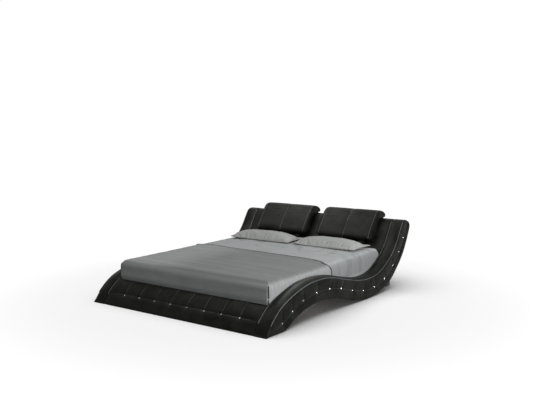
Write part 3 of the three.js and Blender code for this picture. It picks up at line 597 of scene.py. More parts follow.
@dataclass
class NodeTool:
    """A geometry node tree with named inputs that turns paths or points into a mesh."""

    name: str
    sizes: dict[str, float]
    make: Callable[[Graph, Node], Socket]
    tree: NodeTree = field(init=False)

    def __post_init__(self) -> None:
        """Builds the tree, which ends in Realize Instances and Set Material."""
        self.tree = bpy.data.node_groups.new(self.name, "GeometryNodeTree")
        graph = Graph(self.tree)
        graph.socket("Geometry", "Geometry")
        for name, value in self.sizes.items():
            graph.socket(name, "Float").default_value = value
        graph.socket("Material", "Material")
        graph.socket("Geometry", "Geometry", "OUTPUT")
        given = graph.add("NodeGroupInput")
        shaped = self.make(graph, given)
        real = graph.add("GeometryNodeRealizeInstances", {0: shaped})
        smooth = graph.add("GeometryNodeSetShadeSmooth", {0: real.outputs[0]})
        dressed = graph.add("GeometryNodeSetMaterial", {
            "Geometry": smooth.outputs[0], "Material": given.outputs["Material"],
        })
        graph.add("NodeGroupOutput", {0: dressed.outputs[0]})

    def grow(self, name: str, source: Piece, finish: bpy.types.Material, **sizes: float) -> Piece:
        """Runs the tree on a source object and keeps the result as a plain mesh.

        Args:
            name: name of the new piece.
            source: object with the paths or points, which becomes the piece.
            finish: its material.
            sizes: values for the tree's named inputs, with _ for a space.

        Returns:
            The piece.
        """
        source.name = name
        modifier = source.modifiers.new(self.name, "NODES")
        modifier.node_group = self.tree
        named = {item.name: item.identifier for item in self.tree.interface.items_tree
                 if item.in_out == "INPUT"}
        modifier[named["Material"]] = finish
        for key, value in sizes.items():
            modifier[named[key.replace("_", " ")]] = value
        source.update_tag()
        return applied(source)


def piping_nodes(graph: Graph, given: Node) -> Socket:
    """A round cord along each path."""
    curve = graph.add("GeometryNodeMeshToCurve", {"Mesh": given.outputs["Geometry"]})
    even = graph.add("GeometryNodeResampleCurve", {
        "Curve": curve.outputs[0], "Length": given.outputs["Step"],
    }, mode="LENGTH")
    profile = graph.add("GeometryNodeCurvePrimitiveCircle", {
        "Resolution": 8, "Radius": given.outputs["Radius"],
    })
    tube = graph.add("GeometryNodeCurveToMesh", {
        "Curve": even.outputs[0], "Profile Curve": profile.outputs[0], "Fill Caps": True,
    })
    return tube.outputs[0]


def stitch_nodes(graph: Graph, given: Node) -> Socket:
    """Short threads laid end to end along each path."""
    curve = graph.add("GeometryNodeMeshToCurve", {"Mesh": given.outputs["Geometry"]})
    points = graph.add("GeometryNodeCurveToPoints", {
        "Curve": curve.outputs[0], "Length": given.outputs["Pitch"],
    }, mode="LENGTH")
    thread = graph.add("GeometryNodeMeshIcoSphere", {
        "Radius": given.outputs["Thickness"], "Subdivisions": 1,
    })
    half = graph.math("DIVIDE", given.outputs["Length"], 2.0)
    stretch = graph.math("DIVIDE", half, given.outputs["Thickness"])
    scale = graph.add("ShaderNodeCombineXYZ", {0: 1.0, 1: 1.0, 2: stretch})
    copies = graph.add("GeometryNodeInstanceOnPoints", {
        "Points": points.outputs["Points"], "Instance": thread.outputs["Mesh"],
        "Rotation": points.outputs["Rotation"], "Scale": scale.outputs[0],
    })
    return copies.outputs[0]


CRYSTAL_FACETS = 8
CRYSTAL_TIP = 0.0005
CROWN_SHARE, PAVILION_SHARE, TABLE_SHARE = 0.42, 0.36, 0.56


def crystal_nodes(graph: Graph, given: Node) -> Socket:
    """A faceted crystal on each point, facing along the point's outward attribute."""
    radius = given.outputs["Radius"]
    crown, pavilion, table = (graph.math("MULTIPLY", radius, share) for share in (
        CROWN_SHARE, PAVILION_SHARE, TABLE_SHARE))
    top, low = (graph.add("GeometryNodeMeshCone", {
        "Vertices": CRYSTAL_FACETS, "Radius Top": upper, "Radius Bottom": lower, "Depth": depth,
    }) for upper, lower, depth in ((table, radius, crown), (radius, CRYSTAL_TIP, pavilion)))
    drop = graph.math("MULTIPLY", pavilion, -1.0)
    sunk = graph.add("ShaderNodeCombineXYZ", {2: drop})
    lower = graph.add("GeometryNodeTransform", {
        "Geometry": low.outputs[0], "Translation": sunk.outputs[0],
    })
    gem = graph.add("GeometryNodeJoinGeometry")
    for part in (top, lower):
        graph.tree.links.new(part.outputs[0], gem.inputs[0])
    welded = graph.add("GeometryNodeMergeByDistance", {
        "Geometry": gem.outputs[0], "Distance": WELD,
    })
    outward = graph.add("GeometryNodeInputNamedAttribute", {"Name": "outward"},
                        data_type="FLOAT_VECTOR")
    turn = graph.add("FunctionNodeAlignRotationToVector", {"Vector": outward.outputs[0]}, axis="Z")
    copies = graph.add("GeometryNodeInstanceOnPoints", {
        "Points": given.outputs["Geometry"], "Instance": welded.outputs[0],
        "Rotation": turn.outputs[0],
    })
    return copies.outputs[0]


PIPING = NodeTool("piping", {"Radius": 0.003, "Step": 0.012}, piping_nodes)
STITCHES = NodeTool("stitches", {"Pitch": 0.008, "Length": 0.0055, "Thickness": 0.0007},
                    stitch_nodes)
CRYSTALS = NodeTool("crystals", {"Radius": 0.009}, crystal_nodes)


# Finishes


def shader_group(name: str, inputs: dict[str, SocketInput], outputs: Sequence[str],
                 make: Callable[[Graph, Node, Node], None]) -> NodeTree:
    """Builds a shared shader node group.

    Args:
        name: the group's name.
        inputs: default of each named input besides the vector.
        outputs: names of its values.
        make: adds the nodes between the group's input and output.

    Returns:
        The group.
    """
    tree = bpy.data.node_groups.new(name, "ShaderNodeTree")
    graph = Graph(tree)
    graph.socket("Vector", "Vector")
    for key, default in inputs.items():
        kind = "Float" if isinstance(default, float) else "Vector"
        graph.socket(key, kind).default_value = default
    for key in outputs:
        graph.socket(key, "Float", "OUTPUT")
    make(graph, graph.add("NodeGroupInput"), graph.add("NodeGroupOutput"))
    return tree


def grain_nodes(graph: Graph, given: Node, out: Node) -> None:
    """Pebbled leather grain, soft creases, and a slow mottle."""
    vector = given.outputs["Vector"]
    pebble = graph.add("ShaderNodeTexVoronoi", {
        "Vector": vector, "Scale": given.outputs["Scale"],
    }, feature="DISTANCE_TO_EDGE").outputs["Distance"]
    pores = graph.mapped(pebble, 0.0, 0.35, 0.0, 1.0)
    crease = graph.math("ABSOLUTE", graph.math("SUBTRACT", graph.noise(vector, 70.0, 5.0), 0.5))
    creased = graph.mapped(crease, 0.0, 0.06, 0.0, 1.0)
    slow = graph.noise(vector, given.outputs["Mottle Scale"], 3.0)
    graph.set(out, {
        "Height": graph.math("ADD", graph.math("MULTIPLY", pores, 0.45),
                             graph.math("MULTIPLY", creased, 0.55)),
        "Mottle": graph.mapped(slow, 0.36, 0.64, 0.0, 1.0),
        "Crease": creased,
    })


def weave_nodes(graph: Graph, given: Node, out: Node) -> None:
    """Plain weave height, thread colour variation, and slubs stretched along X."""
    vector = given.outputs["Vector"]
    split = graph.add("ShaderNodeSeparateXYZ", {0: vector})
    warp, weft = (graph.math("SINE", graph.math(
        "MULTIPLY", graph.math("ADD", split.outputs[axis], split.outputs[2]),
        given.outputs["Threads"])) for axis in (0, 1))
    slub = graph.noise(graph.stretched(vector, (1.2, 46.0, 9.0)), 1.0, 3.0)
    blotch = graph.noise(vector, 5.0, 2.0)
    graph.set(out, {
        "Height": graph.mapped(graph.math("MULTIPLY", warp, weft), -1.0, 1.0, 0.0, 1.0),
        "Slub": graph.mapped(slub, 0.3, 0.7, 0.0, 1.0),
        "Blotch": graph.mapped(blotch, 0.3, 0.7, 0.0, 1.0),
    })


def timber_nodes(graph: Graph, given: Node, out: Node) -> None:
    """Growth rings and fine pores, stretched along the board."""
    stretched = graph.stretched(given.outputs["Vector"], given.outputs["Stretch"])
    bands = graph.math("FRACT", graph.math("MULTIPLY", graph.noise(stretched, 6.0, 2.0), 9.0))
    pores = graph.noise(stretched, 90.0, 3.0)
    graph.set(out, {
        "Figure": graph.math("ADD", graph.math("MULTIPLY", bands, 0.6),
                             graph.math("MULTIPLY", pores, 0.4)),
        "Height": pores,
    })


GRAIN = shader_group("leather grain", {"Scale": 420.0, "Mottle Scale": 8.0},
                     ("Height", "Mottle", "Crease"), grain_nodes)
WEAVE = shader_group("plain weave", {"Threads": 5200.0}, ("Height", "Slub", "Blotch"), weave_nodes)
TIMBER = shader_group("timber figure", {"Stretch": (1.0, 1.0, 1.0)}, ("Figure", "Height"),
                      timber_nodes)


def rgb(red: float, green: float, blue: float) -> Colour:
    """A linear colour without transparency."""
    return (red, green, blue, 1.0)


def tinted(colour: Colour, factor: float) -> Colour:
    """A colour made lighter or darker."""
    return rgb(*(channel * factor for channel in colour[:3]))


class Finish:
    """A material that is built once and shared by pieces."""

    name: str

    def dress(self, graph: Graph, shader: Node, vector: Socket) -> None:
        """Adds the finish's own nodes."""
        raise NotImplementedError

    def material(self) -> bpy.types.Material:
        """The finish's material, built at its first use."""
        known = bpy.data.materials.get(self.name)
        if known:
            return known
        made = bpy.data.materials.new(self.name)
        made.use_nodes = True
        tree = made.node_tree
        graph = Graph(tree)
        vector = graph.add("ShaderNodeTexCoord").outputs["Object"]
        self.dress(graph, tree.nodes["Principled BSDF"], vector)
        return made


@dataclass(frozen=True)
class Leather(Finish):
    """Grained upholstery leather."""

    name: str
    dark: Colour
    light: Colour
    roughness: Pair = (0.36, 0.5)
    specular: float = 0.043
    grain: float = 420.0

    def dress(self, graph: Graph, shader: Node, vector: Socket) -> None:
        """Mottled colour and gloss over a pebbled grain."""
        group = graph.group(GRAIN, vector, Scale=self.grain)
        smooth, rough = self.roughness
        graph.set(shader, {
            "Base Color": graph.mixed(group.outputs["Mottle"], self.dark, self.light),
            "Roughness": graph.mapped(group.outputs["Crease"], 0.0, 1.0, rough, smooth),
            "Specular IOR Level": self.specular,
            "Normal": graph.bump(group.outputs["Height"], 0.35, 0.0004),
        })


@dataclass(frozen=True)
class Cloth(Finish):
    """Woven bedding cloth."""

    name: str
    colour: Colour
    variation: float = 0.1
    threads: float = 5200.0
    sheen: float = 0.08
    # How dark the painted shade makes the colour at its deepest.
    fold_shade: float = 0.57

    def dress(self, graph: Graph, shader: Node, vector: Socket) -> None:
        """Slubbed colour over a plain weave, darkened by the painted shade that the mesh stores."""
        group = graph.group(WEAVE, vector, Threads=self.threads)
        share = graph.math("ADD", graph.math("MULTIPLY", group.outputs["Slub"], 0.7),
                           graph.math("MULTIPLY", group.outputs["Blotch"], 0.3))
        woven = graph.mixed(share, tinted(self.colour, 1 - self.variation),
                            tinted(self.colour, 1 + self.variation))
        # Painted shade: the colour is darkened by the share in the fold attribute.
        fold = graph.add("ShaderNodeAttribute", attribute_name=PAINTED_SHADE).outputs["Fac"]
        deep = graph.add("ShaderNodeVectorMath", {0: woven, 1: (self.fold_shade,) * 3},
                         operation="MULTIPLY").outputs[0]
        graph.set(shader, {
            "Base Color": graph.mixed(fold, woven, deep),
            "Roughness": graph.mapped(group.outputs["Height"], 0.0, 1.0, 0.95, 0.8),
            "Specular IOR Level": 0.2,
            "Sheen Weight": self.sheen,
            "Normal": graph.bump(group.outputs["Height"], 0.2, 0.0002),
        })


@dataclass(frozen=True)
class Timber(Finish):
    """Sawn or veneered timber."""

    name: str
    dark: Colour
    light: Colour
    stretch: Triple

    def dress(self, graph: Graph, shader: Node, vector: Socket) -> None:
        """Figure along the board, with open pores."""
        group = graph.group(TIMBER, vector, Stretch=self.stretch)
        graph.set(shader, {
            "Base Color": graph.mixed(group.outputs["Figure"], self.light, self.dark),
            "Roughness": graph.mapped(group.outputs["Height"], 0.2, 0.8, 0.7, 0.55),
            "Normal": graph.bump(group.outputs["Height"], 0.3, 0.0004),
        })


@dataclass(frozen=True)
class Metal(Finish):
    """Plated or coated steel."""

    name: str
    colour: Colour
    metallic: float
    roughness: float
    streak: Triple = (6.0, 300.0, 300.0)

    def dress(self, graph: Graph, shader: Node, vector: Socket) -> None:
        """Fine streaks in colour and gloss."""
        streaks = graph.noise(graph.stretched(vector, self.streak), 1.0, 4.0)
        low, high = self.roughness - 0.06, self.roughness + 0.08
        graph.set(shader, {
            "Base Color": graph.mixed(streaks, tinted(self.colour, 0.8), self.colour),
            "Metallic": self.metallic,
            "Roughness": graph.mapped(streaks, 0.3, 0.7, low, high),
            "Normal": graph.bump(streaks, 0.15, 0.0002),
        })


@dataclass(frozen=True)
class Plastic(Finish):
    """Moulded plastic with a fine texture."""

    name: str
    colour: Colour

    def dress(self, graph: Graph, shader: Node, vector: Socket) -> None:
        """A fine spark-eroded texture."""
        fine = graph.noise(vector, 900.0, 2.0)
        graph.set(shader, {
            "Base Color": graph.mixed(fine, self.colour, tinted(self.colour, 1.35)),
            "Roughness": graph.mapped(fine, 0.3, 0.7, 0.5, 0.64),
            "Normal": graph.bump(fine, 0.3, 0.0002),
        })


@dataclass(frozen=True)
class Gem(Finish):
    """Clear cut crystal on a bright foil."""

    name: str
    colour: Colour

    def dress(self, graph: Graph, shader: Node, vector: Socket) -> None:
        """Bright facets with a faint cloud in the colour."""
        cloud = graph.noise(vector, 240.0, 1.0)
        graph.set(shader, {
            "Base Color": graph.mixed(cloud, tinted(self.colour, 0.72), self.colour),
            "Metallic": 0.12,
            "Roughness": 0.06,
            "Transmission Weight": 0.8,
            "IOR": 1.55,
        })


class Finishes:
    """The finishes of this bed."""

    LEATHER = Leather("black_leather", rgb(0.0033, 0.0036, 0.0024), rgb(0.0088, 0.0094, 0.0078))
    # Piping leather several times lighter than the cover leather: real piping whose lighter colour
    # is painted highlight along the piped edges and headrest seams.
    EDGE_LEATHER = Leather("piping_leather", rgb(0.022, 0.027, 0.029), rgb(0.042, 0.049, 0.052),
                           (0.28, 0.4), 0.3, 520.0)
    # Seam cords lighter than the cover leather: real seams whose lighter colour is painted
    # highlight along them.
    SEAM_LEATHER = Leather("seam_leather", rgb(0.006, 0.007, 0.007), rgb(0.016, 0.018, 0.018),
                           (0.3, 0.42), 0.3, 520.0)
    THREAD = Cloth("sewing_thread", rgb(0.024, 0.027, 0.029), 0.15, 9000.0)
    SHEET = Cloth("sheet_cotton", rgb(0.286, 0.298, 0.298), 0.06)
    COVERLET = Cloth("coverlet_cotton", rgb(0.226, 0.233, 0.233), 0.13)
    PILLOW = Cloth("pillow_cotton", rgb(0.292, 0.298, 0.290), 0.06)
    # Dark piping round the coverlet's edge and down its front corners. Along the head-side edge its
    # darkness also stands in for the shadow under that edge, a painted shadow.
    DARK_EDGE = Cloth("coverlet_piping", rgb(0.030, 0.032, 0.033), 0.12)
    TICKING = Cloth("mattress_ticking", rgb(0.62, 0.62, 0.60), 0.05, 3800.0)
    PLYWOOD = Timber("raw_plywood", rgb(0.30, 0.17, 0.075), rgb(0.50, 0.31, 0.15), (2.0, 0.35, 2.0))
    BLACK_PLYWOOD = Timber("black_plywood", rgb(0.008, 0.0075, 0.007), rgb(0.018, 0.017, 0.016),
                           (2.0, 0.35, 2.0))
    PINE = Timber("planed_pine", rgb(0.45, 0.28, 0.12), rgb(0.68, 0.49, 0.26), (0.4, 3.0, 3.0))
    LONG_PINE = Timber("long_pine", rgb(0.43, 0.27, 0.12), rgb(0.66, 0.47, 0.25), (3.0, 0.35, 3.0))
    STEEL = Metal("zinc_plate", rgb(0.42, 0.43, 0.44), 0.95, 0.34)
    BLACK_STEEL = Metal("black_coat", rgb(0.016, 0.016, 0.017), 0.1, 0.45, (700.0, 700.0, 700.0))
    PLASTIC = Plastic("black_plastic", rgb(0.012, 0.012, 0.013))
    CRYSTAL = Gem("cut_crystal", rgb(0.86, 0.88, 0.90))


def finished(piece: Piece, finish: Finish) -> Piece:
    """Gives a piece one material."""
    piece.data.materials.clear()
    piece.data.materials.append(finish.material())
    return piece


def placed(piece: Piece, body: Body) -> Piece:
    """Puts a finished piece on its body."""
    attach(piece, body.value)
    LOG.info("%s: %d vertices on %s", piece.name, len(piece.data.vertices), body.value)
    return piece


def padded(skin: Piece, node: str, finish: Finish = Finishes.LEATHER,
           body: Body = Body.BED) -> Piece:
    """Dresses and places a padded form.

    Args:
        skin: the form.
        node: the CAD node that it stands for.
        finish: its finish.
        body: the body that it rides on.

    Returns:
        The piece.
    """
    cover = placed(finished(skin, finish), body)
    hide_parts(node)
    return cover


def trimmed(tool: NodeTool, name: str, paths: Iterable[Array], finish: Finish,
            body: Body = Body.BED, slot: str = "leather", **sizes: float) -> Piece:
    """Makes and places a trim that follows paths.

    Args:
        tool: the node tree that draws it.
        name: name of the new piece.
        paths: arrays (count, 3) of points.
        finish: its finish.
        body: the body that it rides on.
        slot: not used.
        sizes: values for the tree's inputs.

    Returns:
        The piece.
    """
    return placed(tool.grow(name, path_mesh(paths), finish.material(), **sizes), body)


# The S-shaped band of the rails


@dataclass
class Band:
    """The S-shaped outline that the rails, footboard and headboard share."""

    length: float = 2.62
    height: float = 0.703
    foot_end: float = -1.31
    top_shares: Shares = (
        (0, 0.011), (0.0286, 0.151), (0.079, 0.3016), (0.1527, 0.4097), (0.229, 0.4794),
        (0.3053, 0.4964), (0.3817, 0.4737), (0.4714, 0.3969), (0.5725, 0.3172), (0.6489, 0.2937),
        (0.7225, 0.3201), (0.7863, 0.4154), (0.8397, 0.5377), (0.8779, 0.6871), (0.9328, 0.9815),
        (0.9435, 0.9986), (0.9599, 1))
    bottom_shares: Shares = (
        (0.0015, 0), (0.0496, 0), (0.1, 0.0043), (0.1756, 0.1238), (0.2405, 0.1863),
        (0.3053, 0.2105), (0.3683, 0.1991), (0.4447, 0.1451), (0.5573, 0.0398), (0.6546, 0),
        (0.7416, 0.0384), (0.8282, 0.1394), (0.895, 0.3243), (0.9447, 0.5121), (0.9962, 0.8464),
        (0.99978, 0.9033), (0.9901, 0.9559))
    samples: int = 2400

    def __post_init__(self) -> None:
        """Measures the band's middle line."""
        self.places = np.linspace(0, 1, self.samples + 1)
        top, bottom = self.edges(self.places)
        self.reached = distances((top + bottom) / 2)
        self.total = self.reached[-1]

    def edge(self, shares: Sequence[Sequence[float]], places: Array) -> Array:
        """One edge of the band as (y, z) points at some places."""
        drawn = np.array(shares) * (self.length, self.height) + (self.foot_end, 0)
        return spline(drawn, places)

    def edges(self, places: Array, inset: float = 0.0) -> tuple[Array, Array]:
        """Both edges at some places, moved towards each other by an inset."""
        top = self.edge(self.top_shares, places)
        bottom = self.edge(self.bottom_shares, places)
        bottom[:, 1] = np.maximum(bottom[:, 1], 0)
        rise = top - bottom
        rise /= np.linalg.norm(rise, axis=1, keepdims=True)
        return top - rise * inset, bottom + rise * inset

    def place_at(self, distance: Array | float) -> Array:
        """Place at a distance along the middle line."""
        return np.interp(distance, self.reached, self.places)

    def top_between(self, low: float, high: float, count: int) -> Array:
        """Evenly spaced points of the top edge between two places along the bed."""
        line = self.edge(self.top_shares, self.places)
        inside = line[(line[:, 0] > low) & (line[:, 0] < high)]
        ends = [[low, np.interp(low, line[:, 0], line[:, 1])],
                [high, np.interp(high, line[:, 0], line[:, 1])]]
        return evenly_spaced(np.vstack([ends[0], inside, ends[1]]), count)


BAND = Band()


@dataclass
class Tufting:
    """How seams, pleats and buttons draw the padding in."""

    seam: float = 0.0028
    seam_width: float = 0.0035
    valley: float = 0.0045
    valley_width: float = 0.024
    pleat: float = 0.0026
    pleat_width: float = 0.0032
    pleat_valley: float = 0.0028
    pleat_valley_width: float = 0.022
    lower_share: float = 0.5
    button: float = 0.006
    button_width: float = 0.015
    pucker: float = 0.0009
    swell: float = 0.003

    def depth(self, along: Array, up: Array) -> Array:
        """How deep the cover lies under its smooth form.

        Args:
            along: signed distance from the nearest button along the seam.
            up: signed distance from the seam, towards the top edge.

        Returns:
            The depth at each point.
        """
        seam = self.seam * bump(up, self.seam_width) + self.valley * bump(up, self.valley_width)
        pleat = self.pleat * bump(along, self.pleat_width)
        pleat += self.pleat_valley * bump(along, self.pleat_valley_width)
        fade = np.where(up > 0, 1 - 0.45 * smooth_step(0.0, 0.11, up), self.lower_share)
        fade = np.where(up > 0, fade, fade * (1 - 0.8 * smooth_step(0.0, 0.09, -up)))
        reach = np.hypot(along, up)
        button = self.button * bump(reach, self.button_width)
        ripple = np.cos(7 * np.arctan2(up, along)) * bump(reach - 0.026, 0.016)
        return seam + pleat * fade + button + self.pucker * ripple - self.swell


def nearest(values: Array, centres: Sequence[float]) -> Array:
    """Signed distance from each value to its nearest centre."""
    gaps = values[:, None] - np.asarray(centres)[None]
    return gaps[np.arange(len(values)), np.abs(gaps).argmin(1)]


def nearest_index(stations: Array, wanted: Iterable[float]) -> list[int]:
    """Number of the station nearest to each wanted one."""
    return [int(np.abs(stations - value).argmin()) for value in wanted]


def crystal_row(name: str, places: Array, outward: Array, node: str) -> None:
    """Crystals at some places, in place of a CAD button row.

    Args:
        name: name of the new piece.
        places: array (count, 3) of the crystals' middles.
        outward: the direction that they face.
        node: the CAD node that they stand for.
    """
    source = built("path", places, [])
    attribute = source.data.attributes.new("outward", "FLOAT_VECTOR", "POINT")
    attribute.data.foreach_set("vector", np.tile(outward, len(places)))
    row = CRYSTALS.grow(name, source, Finishes.CRYSTAL.material())
    shaded(row.data, False)
    placed(row, Body.BED)
    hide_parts(node)


@dataclass
class SideRail:
    """A padded rail with its crystal buttons, piping and stitching."""

    side: Side
    inner: float = 0.905
    width: float = 0.138
    edge: float = 0.014
    edge_share: float = 0.3
    crown: float = 0.018
    slim_height: float = 0.15
    padding: float = 0.022
    frame_toe: float = 0.11
    frame_end: float = 0.034
    sway: float = 0.0012
    button_shares: Shares = (
        (0.0855, 0.36), (0.142, 0.4), (0.2046, 0.43), (0.2809, 0.44), (0.357, 0.47), (0.43, 0.51),
        (0.5061, 0.49), (0.5836, 0.46), (0.6624, 0.42), (0.7398, 0.385), (0.8125, 0.395),
        (0.8747, 0.39), (0.9346, 0.375))
    tufting: Tufting = field(default_factory=Tufting)

    SIDE_ROWS = (0.1, 0.25, 0.42, 0.58, 0.7, 0.79, 0.86, 0.91, 0.945, 0.97, 0.985)
    ARC_STEPS = 5
    TOP_STEPS = 18
    PLAIN_STEPS = 7
    OUTER_PIPING_LIFT = (0.0008, 0, 0.0008)
    INNER_PIPING_LIFT = (0.0006, 0, 0.0022)

    def __post_init__(self) -> None:
        """Lays out the stations along the band."""
        shares = np.array(self.button_shares)
        self.button_places = shares[:, 0] * BAND.total
        self.stations = clustered(0.0, BAND.total, self.button_places, STEP, FINE_STEP)
        ends = np.array([0.0, BAND.total])
        along = np.concatenate([ends[:1], self.button_places, ends[1:]])
        self.seam = np.interp(self.stations, along,
                              np.concatenate([shares[:1, 1], shares[:, 1], shares[-1:, 1]]))
        self.grid, self.columns = self.rings()

    def rings(self) -> tuple[Array, dict[str, int]]:
        """The rings of the cover.

        Returns:
            Array (stations, points, 3) for the right rail, and named columns in it.
        """
        top, bottom = BAND.edges(BAND.place_at(self.stations))
        rise = top - bottom
        height = np.linalg.norm(rise, axis=1)
        rise /= height[:, None]
        edge = np.minimum(self.edge, height * self.edge_share)
        slim = np.minimum(1, height / self.slim_height)
        crown = slim * self.crown * np.sin(np.pi * self.stations / BAND.total) ** 0.6
        outer = self.inner + self.width
        columns: list[tuple[Array, Array]] = []
        named: dict[str, int] = {}

        def arc(x: Array, up: Array, start: float) -> None:
            """Adds the columns of a rounded edge."""
            for angle in np.linspace(start, start + QUARTER_TURN, self.ARC_STEPS):
                columns.append((x + edge * np.cos(angle), up + edge * np.sin(angle)))

        arc(self.inner + edge, edge, np.pi)
        for share in np.linspace(0, 1, self.PLAIN_STEPS)[1:-1]:
            columns.append((self.inner + edge + share * (self.width - 2 * edge), 0 * height))
        arc(outer - edge, edge, -QUARTER_TURN)
        seam_up = self.seam * height
        away = nearest(self.stations, self.button_places)
        sway = Noise(5)

        def side_row(up: Array) -> None:
            """Adds one column of the tufted side."""
            drawn = slim * self.tufting.depth(away, up - seam_up)
            place = np.column_stack([0 * up, self.stations, up])
            drawn = drawn - slim * self.sway * sway(place, (1, 14, 22))
            columns.append((outer - drawn, up))

        for share in self.SIDE_ROWS:
            side_row(edge + share * (seam_up - edge))
        named["seam"] = len(columns)
        side_row(seam_up)
        for share in reversed(self.SIDE_ROWS):
            side_row(height - edge - share * (height - edge - seam_up))
        named["outer_edge"] = len(columns) + self.ARC_STEPS // 2
        arc(outer - edge, height - edge, 0)
        named["top"] = len(columns)
        for share in np.linspace(1, 0, self.TOP_STEPS)[1:-1]:
            x = self.inner + edge + share * (self.width - 2 * edge)
            swell = crown * (1 - abs(2 * share - 1) ** 2.4)
            wave = sway(np.column_stack([0 * height + x, self.stations, height]), (20, 9, 5))
            columns.append((x, height + swell + self.sway * slim * wave))
        named["inner_edge"] = len(columns) + self.ARC_STEPS // 2
        arc(self.inner + edge, height - edge, QUARTER_TURN)
        for share in np.linspace(1, 0, self.PLAIN_STEPS)[1:-1]:
            columns.append((self.inner + 0 * height, edge + share * (height - 2 * edge)))
        x = np.stack([np.broadcast_to(c[0], height.shape) for c in columns], 1)
        up = np.stack([c[1] for c in columns], 1)
        places = bottom[:, None] + rise[:, None] * up[..., None]
        return np.concatenate([x[..., None], places], -1), named

    def mirrored(self, points: Array) -> Array:
        """Points of the right rail moved to this side."""
        return points * (self.side.value, 1, 1)

    def cover(self) -> None:
        """Makes the tufted leather cover, hollow round the rail's timber."""
        skin = loft(f"{self.side.label}_rail_cover", self.mirrored(domed(self.grid, 0.005)))
        places = np.linspace(BAND.place_at(self.frame_toe),
                             BAND.place_at(BAND.total - self.frame_end), 27)
        top, bottom = BAND.edges(places, self.padding - SEAT_GAP)
        outline = np.vstack([top, bottom[::-1]])
        inner = self.side.value * (self.inner - CUT_PAST)
        outer = self.side.value * (self.inner + self.width - self.padding + SEAT_GAP)
        cutter = prism("cutter", outline, min(inner, outer), max(inner, outer))
        padded(hollowed(skin, cutter), f"{self.side.label}_rail_upholstery")

    def build(self) -> None:
        """Makes and places the rail's pieces."""
        rail = f"{self.side.label}_rail"
        self.cover()
        grid, seam, edge = self.grid, self.columns["seam"], self.columns["outer_edge"]
        index = nearest_index(self.stations, self.button_places)
        piping = [grid[6:-4, edge] + self.OUTER_PIPING_LIFT,
                  grid[6:-4, self.columns["inner_edge"]] + self.INNER_PIPING_LIFT]
        stitches = [grid[12:-8, self.columns["top"] + 1] + (0, 0, SEAM_LIFT),
                    grid[20:-20, seam + 3] + (SEAM_LIFT, 0, 0)]
        seams = [path + (SEAM_LIFT, 0, 0)
                 for path in (grid[8:-8, seam], *(grid[i, seam:edge] for i in index))]
        trimmed(PIPING, f"{rail}_piping", map(self.mirrored, piping), Finishes.EDGE_LEATHER,
                Radius=0.0042, Step=0.014)
        trimmed(STITCHES, f"{rail}_stitches", map(self.mirrored, stitches), Finishes.THREAD)
        trimmed(PIPING, f"{rail}_seams", map(self.mirrored, seams), Finishes.SEAM_LEATHER,
                Radius=0.0019, Step=0.01)
        crystal_row(f"{rail}_crystals", self.mirrored(grid[index, seam] + (CRYSTAL_LIFT, 0, 0)),
                    np.array([self.side.value, 0.0, 0.0]), f"{rail}_button_row")


@dataclass
class Panel:
    """An upholstered panel between the rails, drawn as rings across the bed."""

    half: float = 0.9047
    edge: float = 0.012
    padding: float = 0.022

    @property
    def reach(self) -> float:
        """Half the width of the space that the timber takes."""
        return self.half - self.padding + SEAT_GAP

    def across(self, centres: Sequence[float], spacing: float, finest: float) -> Array:
        """Stations across the bed, fine at both rounded ends."""
        arc = np.linspace(0, QUARTER_TURN, 6)[1:]
        rounded = self.half - self.edge + self.edge * np.sin(arc)
        middle = clustered(-self.half + self.edge, self.half - self.edge, centres, spacing, finest)
        return np.concatenate([-rounded[::-1], middle, rounded])

    def end_depth(self, stations: Array) -> Array:
        """How far the outline shrinks at the rounded ends."""
        past = np.clip((np.abs(stations) - self.half + self.edge) / self.edge, 0, 1)
        return self.edge * 0.6 * (1 - np.sqrt(1 - past**2))

    def wave(self, seed: int, stations: Array, up: Array, cells: Sequence[float]) -> Array:
        """Noise over the stations and the points of the outline."""
        x, along = np.meshgrid(stations, up, indexing="ij")
        return Noise(seed)(np.stack([x, along, 0 * x], -1), cells)

    def skin(self, name: str, stations: Array, outline: Array, depth: Array) -> tuple[Piece, Array]:
        """Lofts an outline across the bed.

        Args:
            name: the object's name.
            stations: places across the bed.
            outline: array (points, 2) in the Y-Z plane.
            depth: array (stations, points), how far each point is drawn in.

        Returns:
            The object and the array (stations, points, 3) of its grid.
        """
        normals = outline_normals(outline)
        drawn = depth + self.end_depth(stations)[:, None]
        places = outline[None] - normals[None] * drawn[..., None]
        places[..., 1] = np.maximum(places[..., 1], 0.0)
        x = np.broadcast_to(stations[:, None, None], places.shape[:2] + (1,))
        grid = np.concatenate([x, places], -1)
        return loft(name, grid), grid


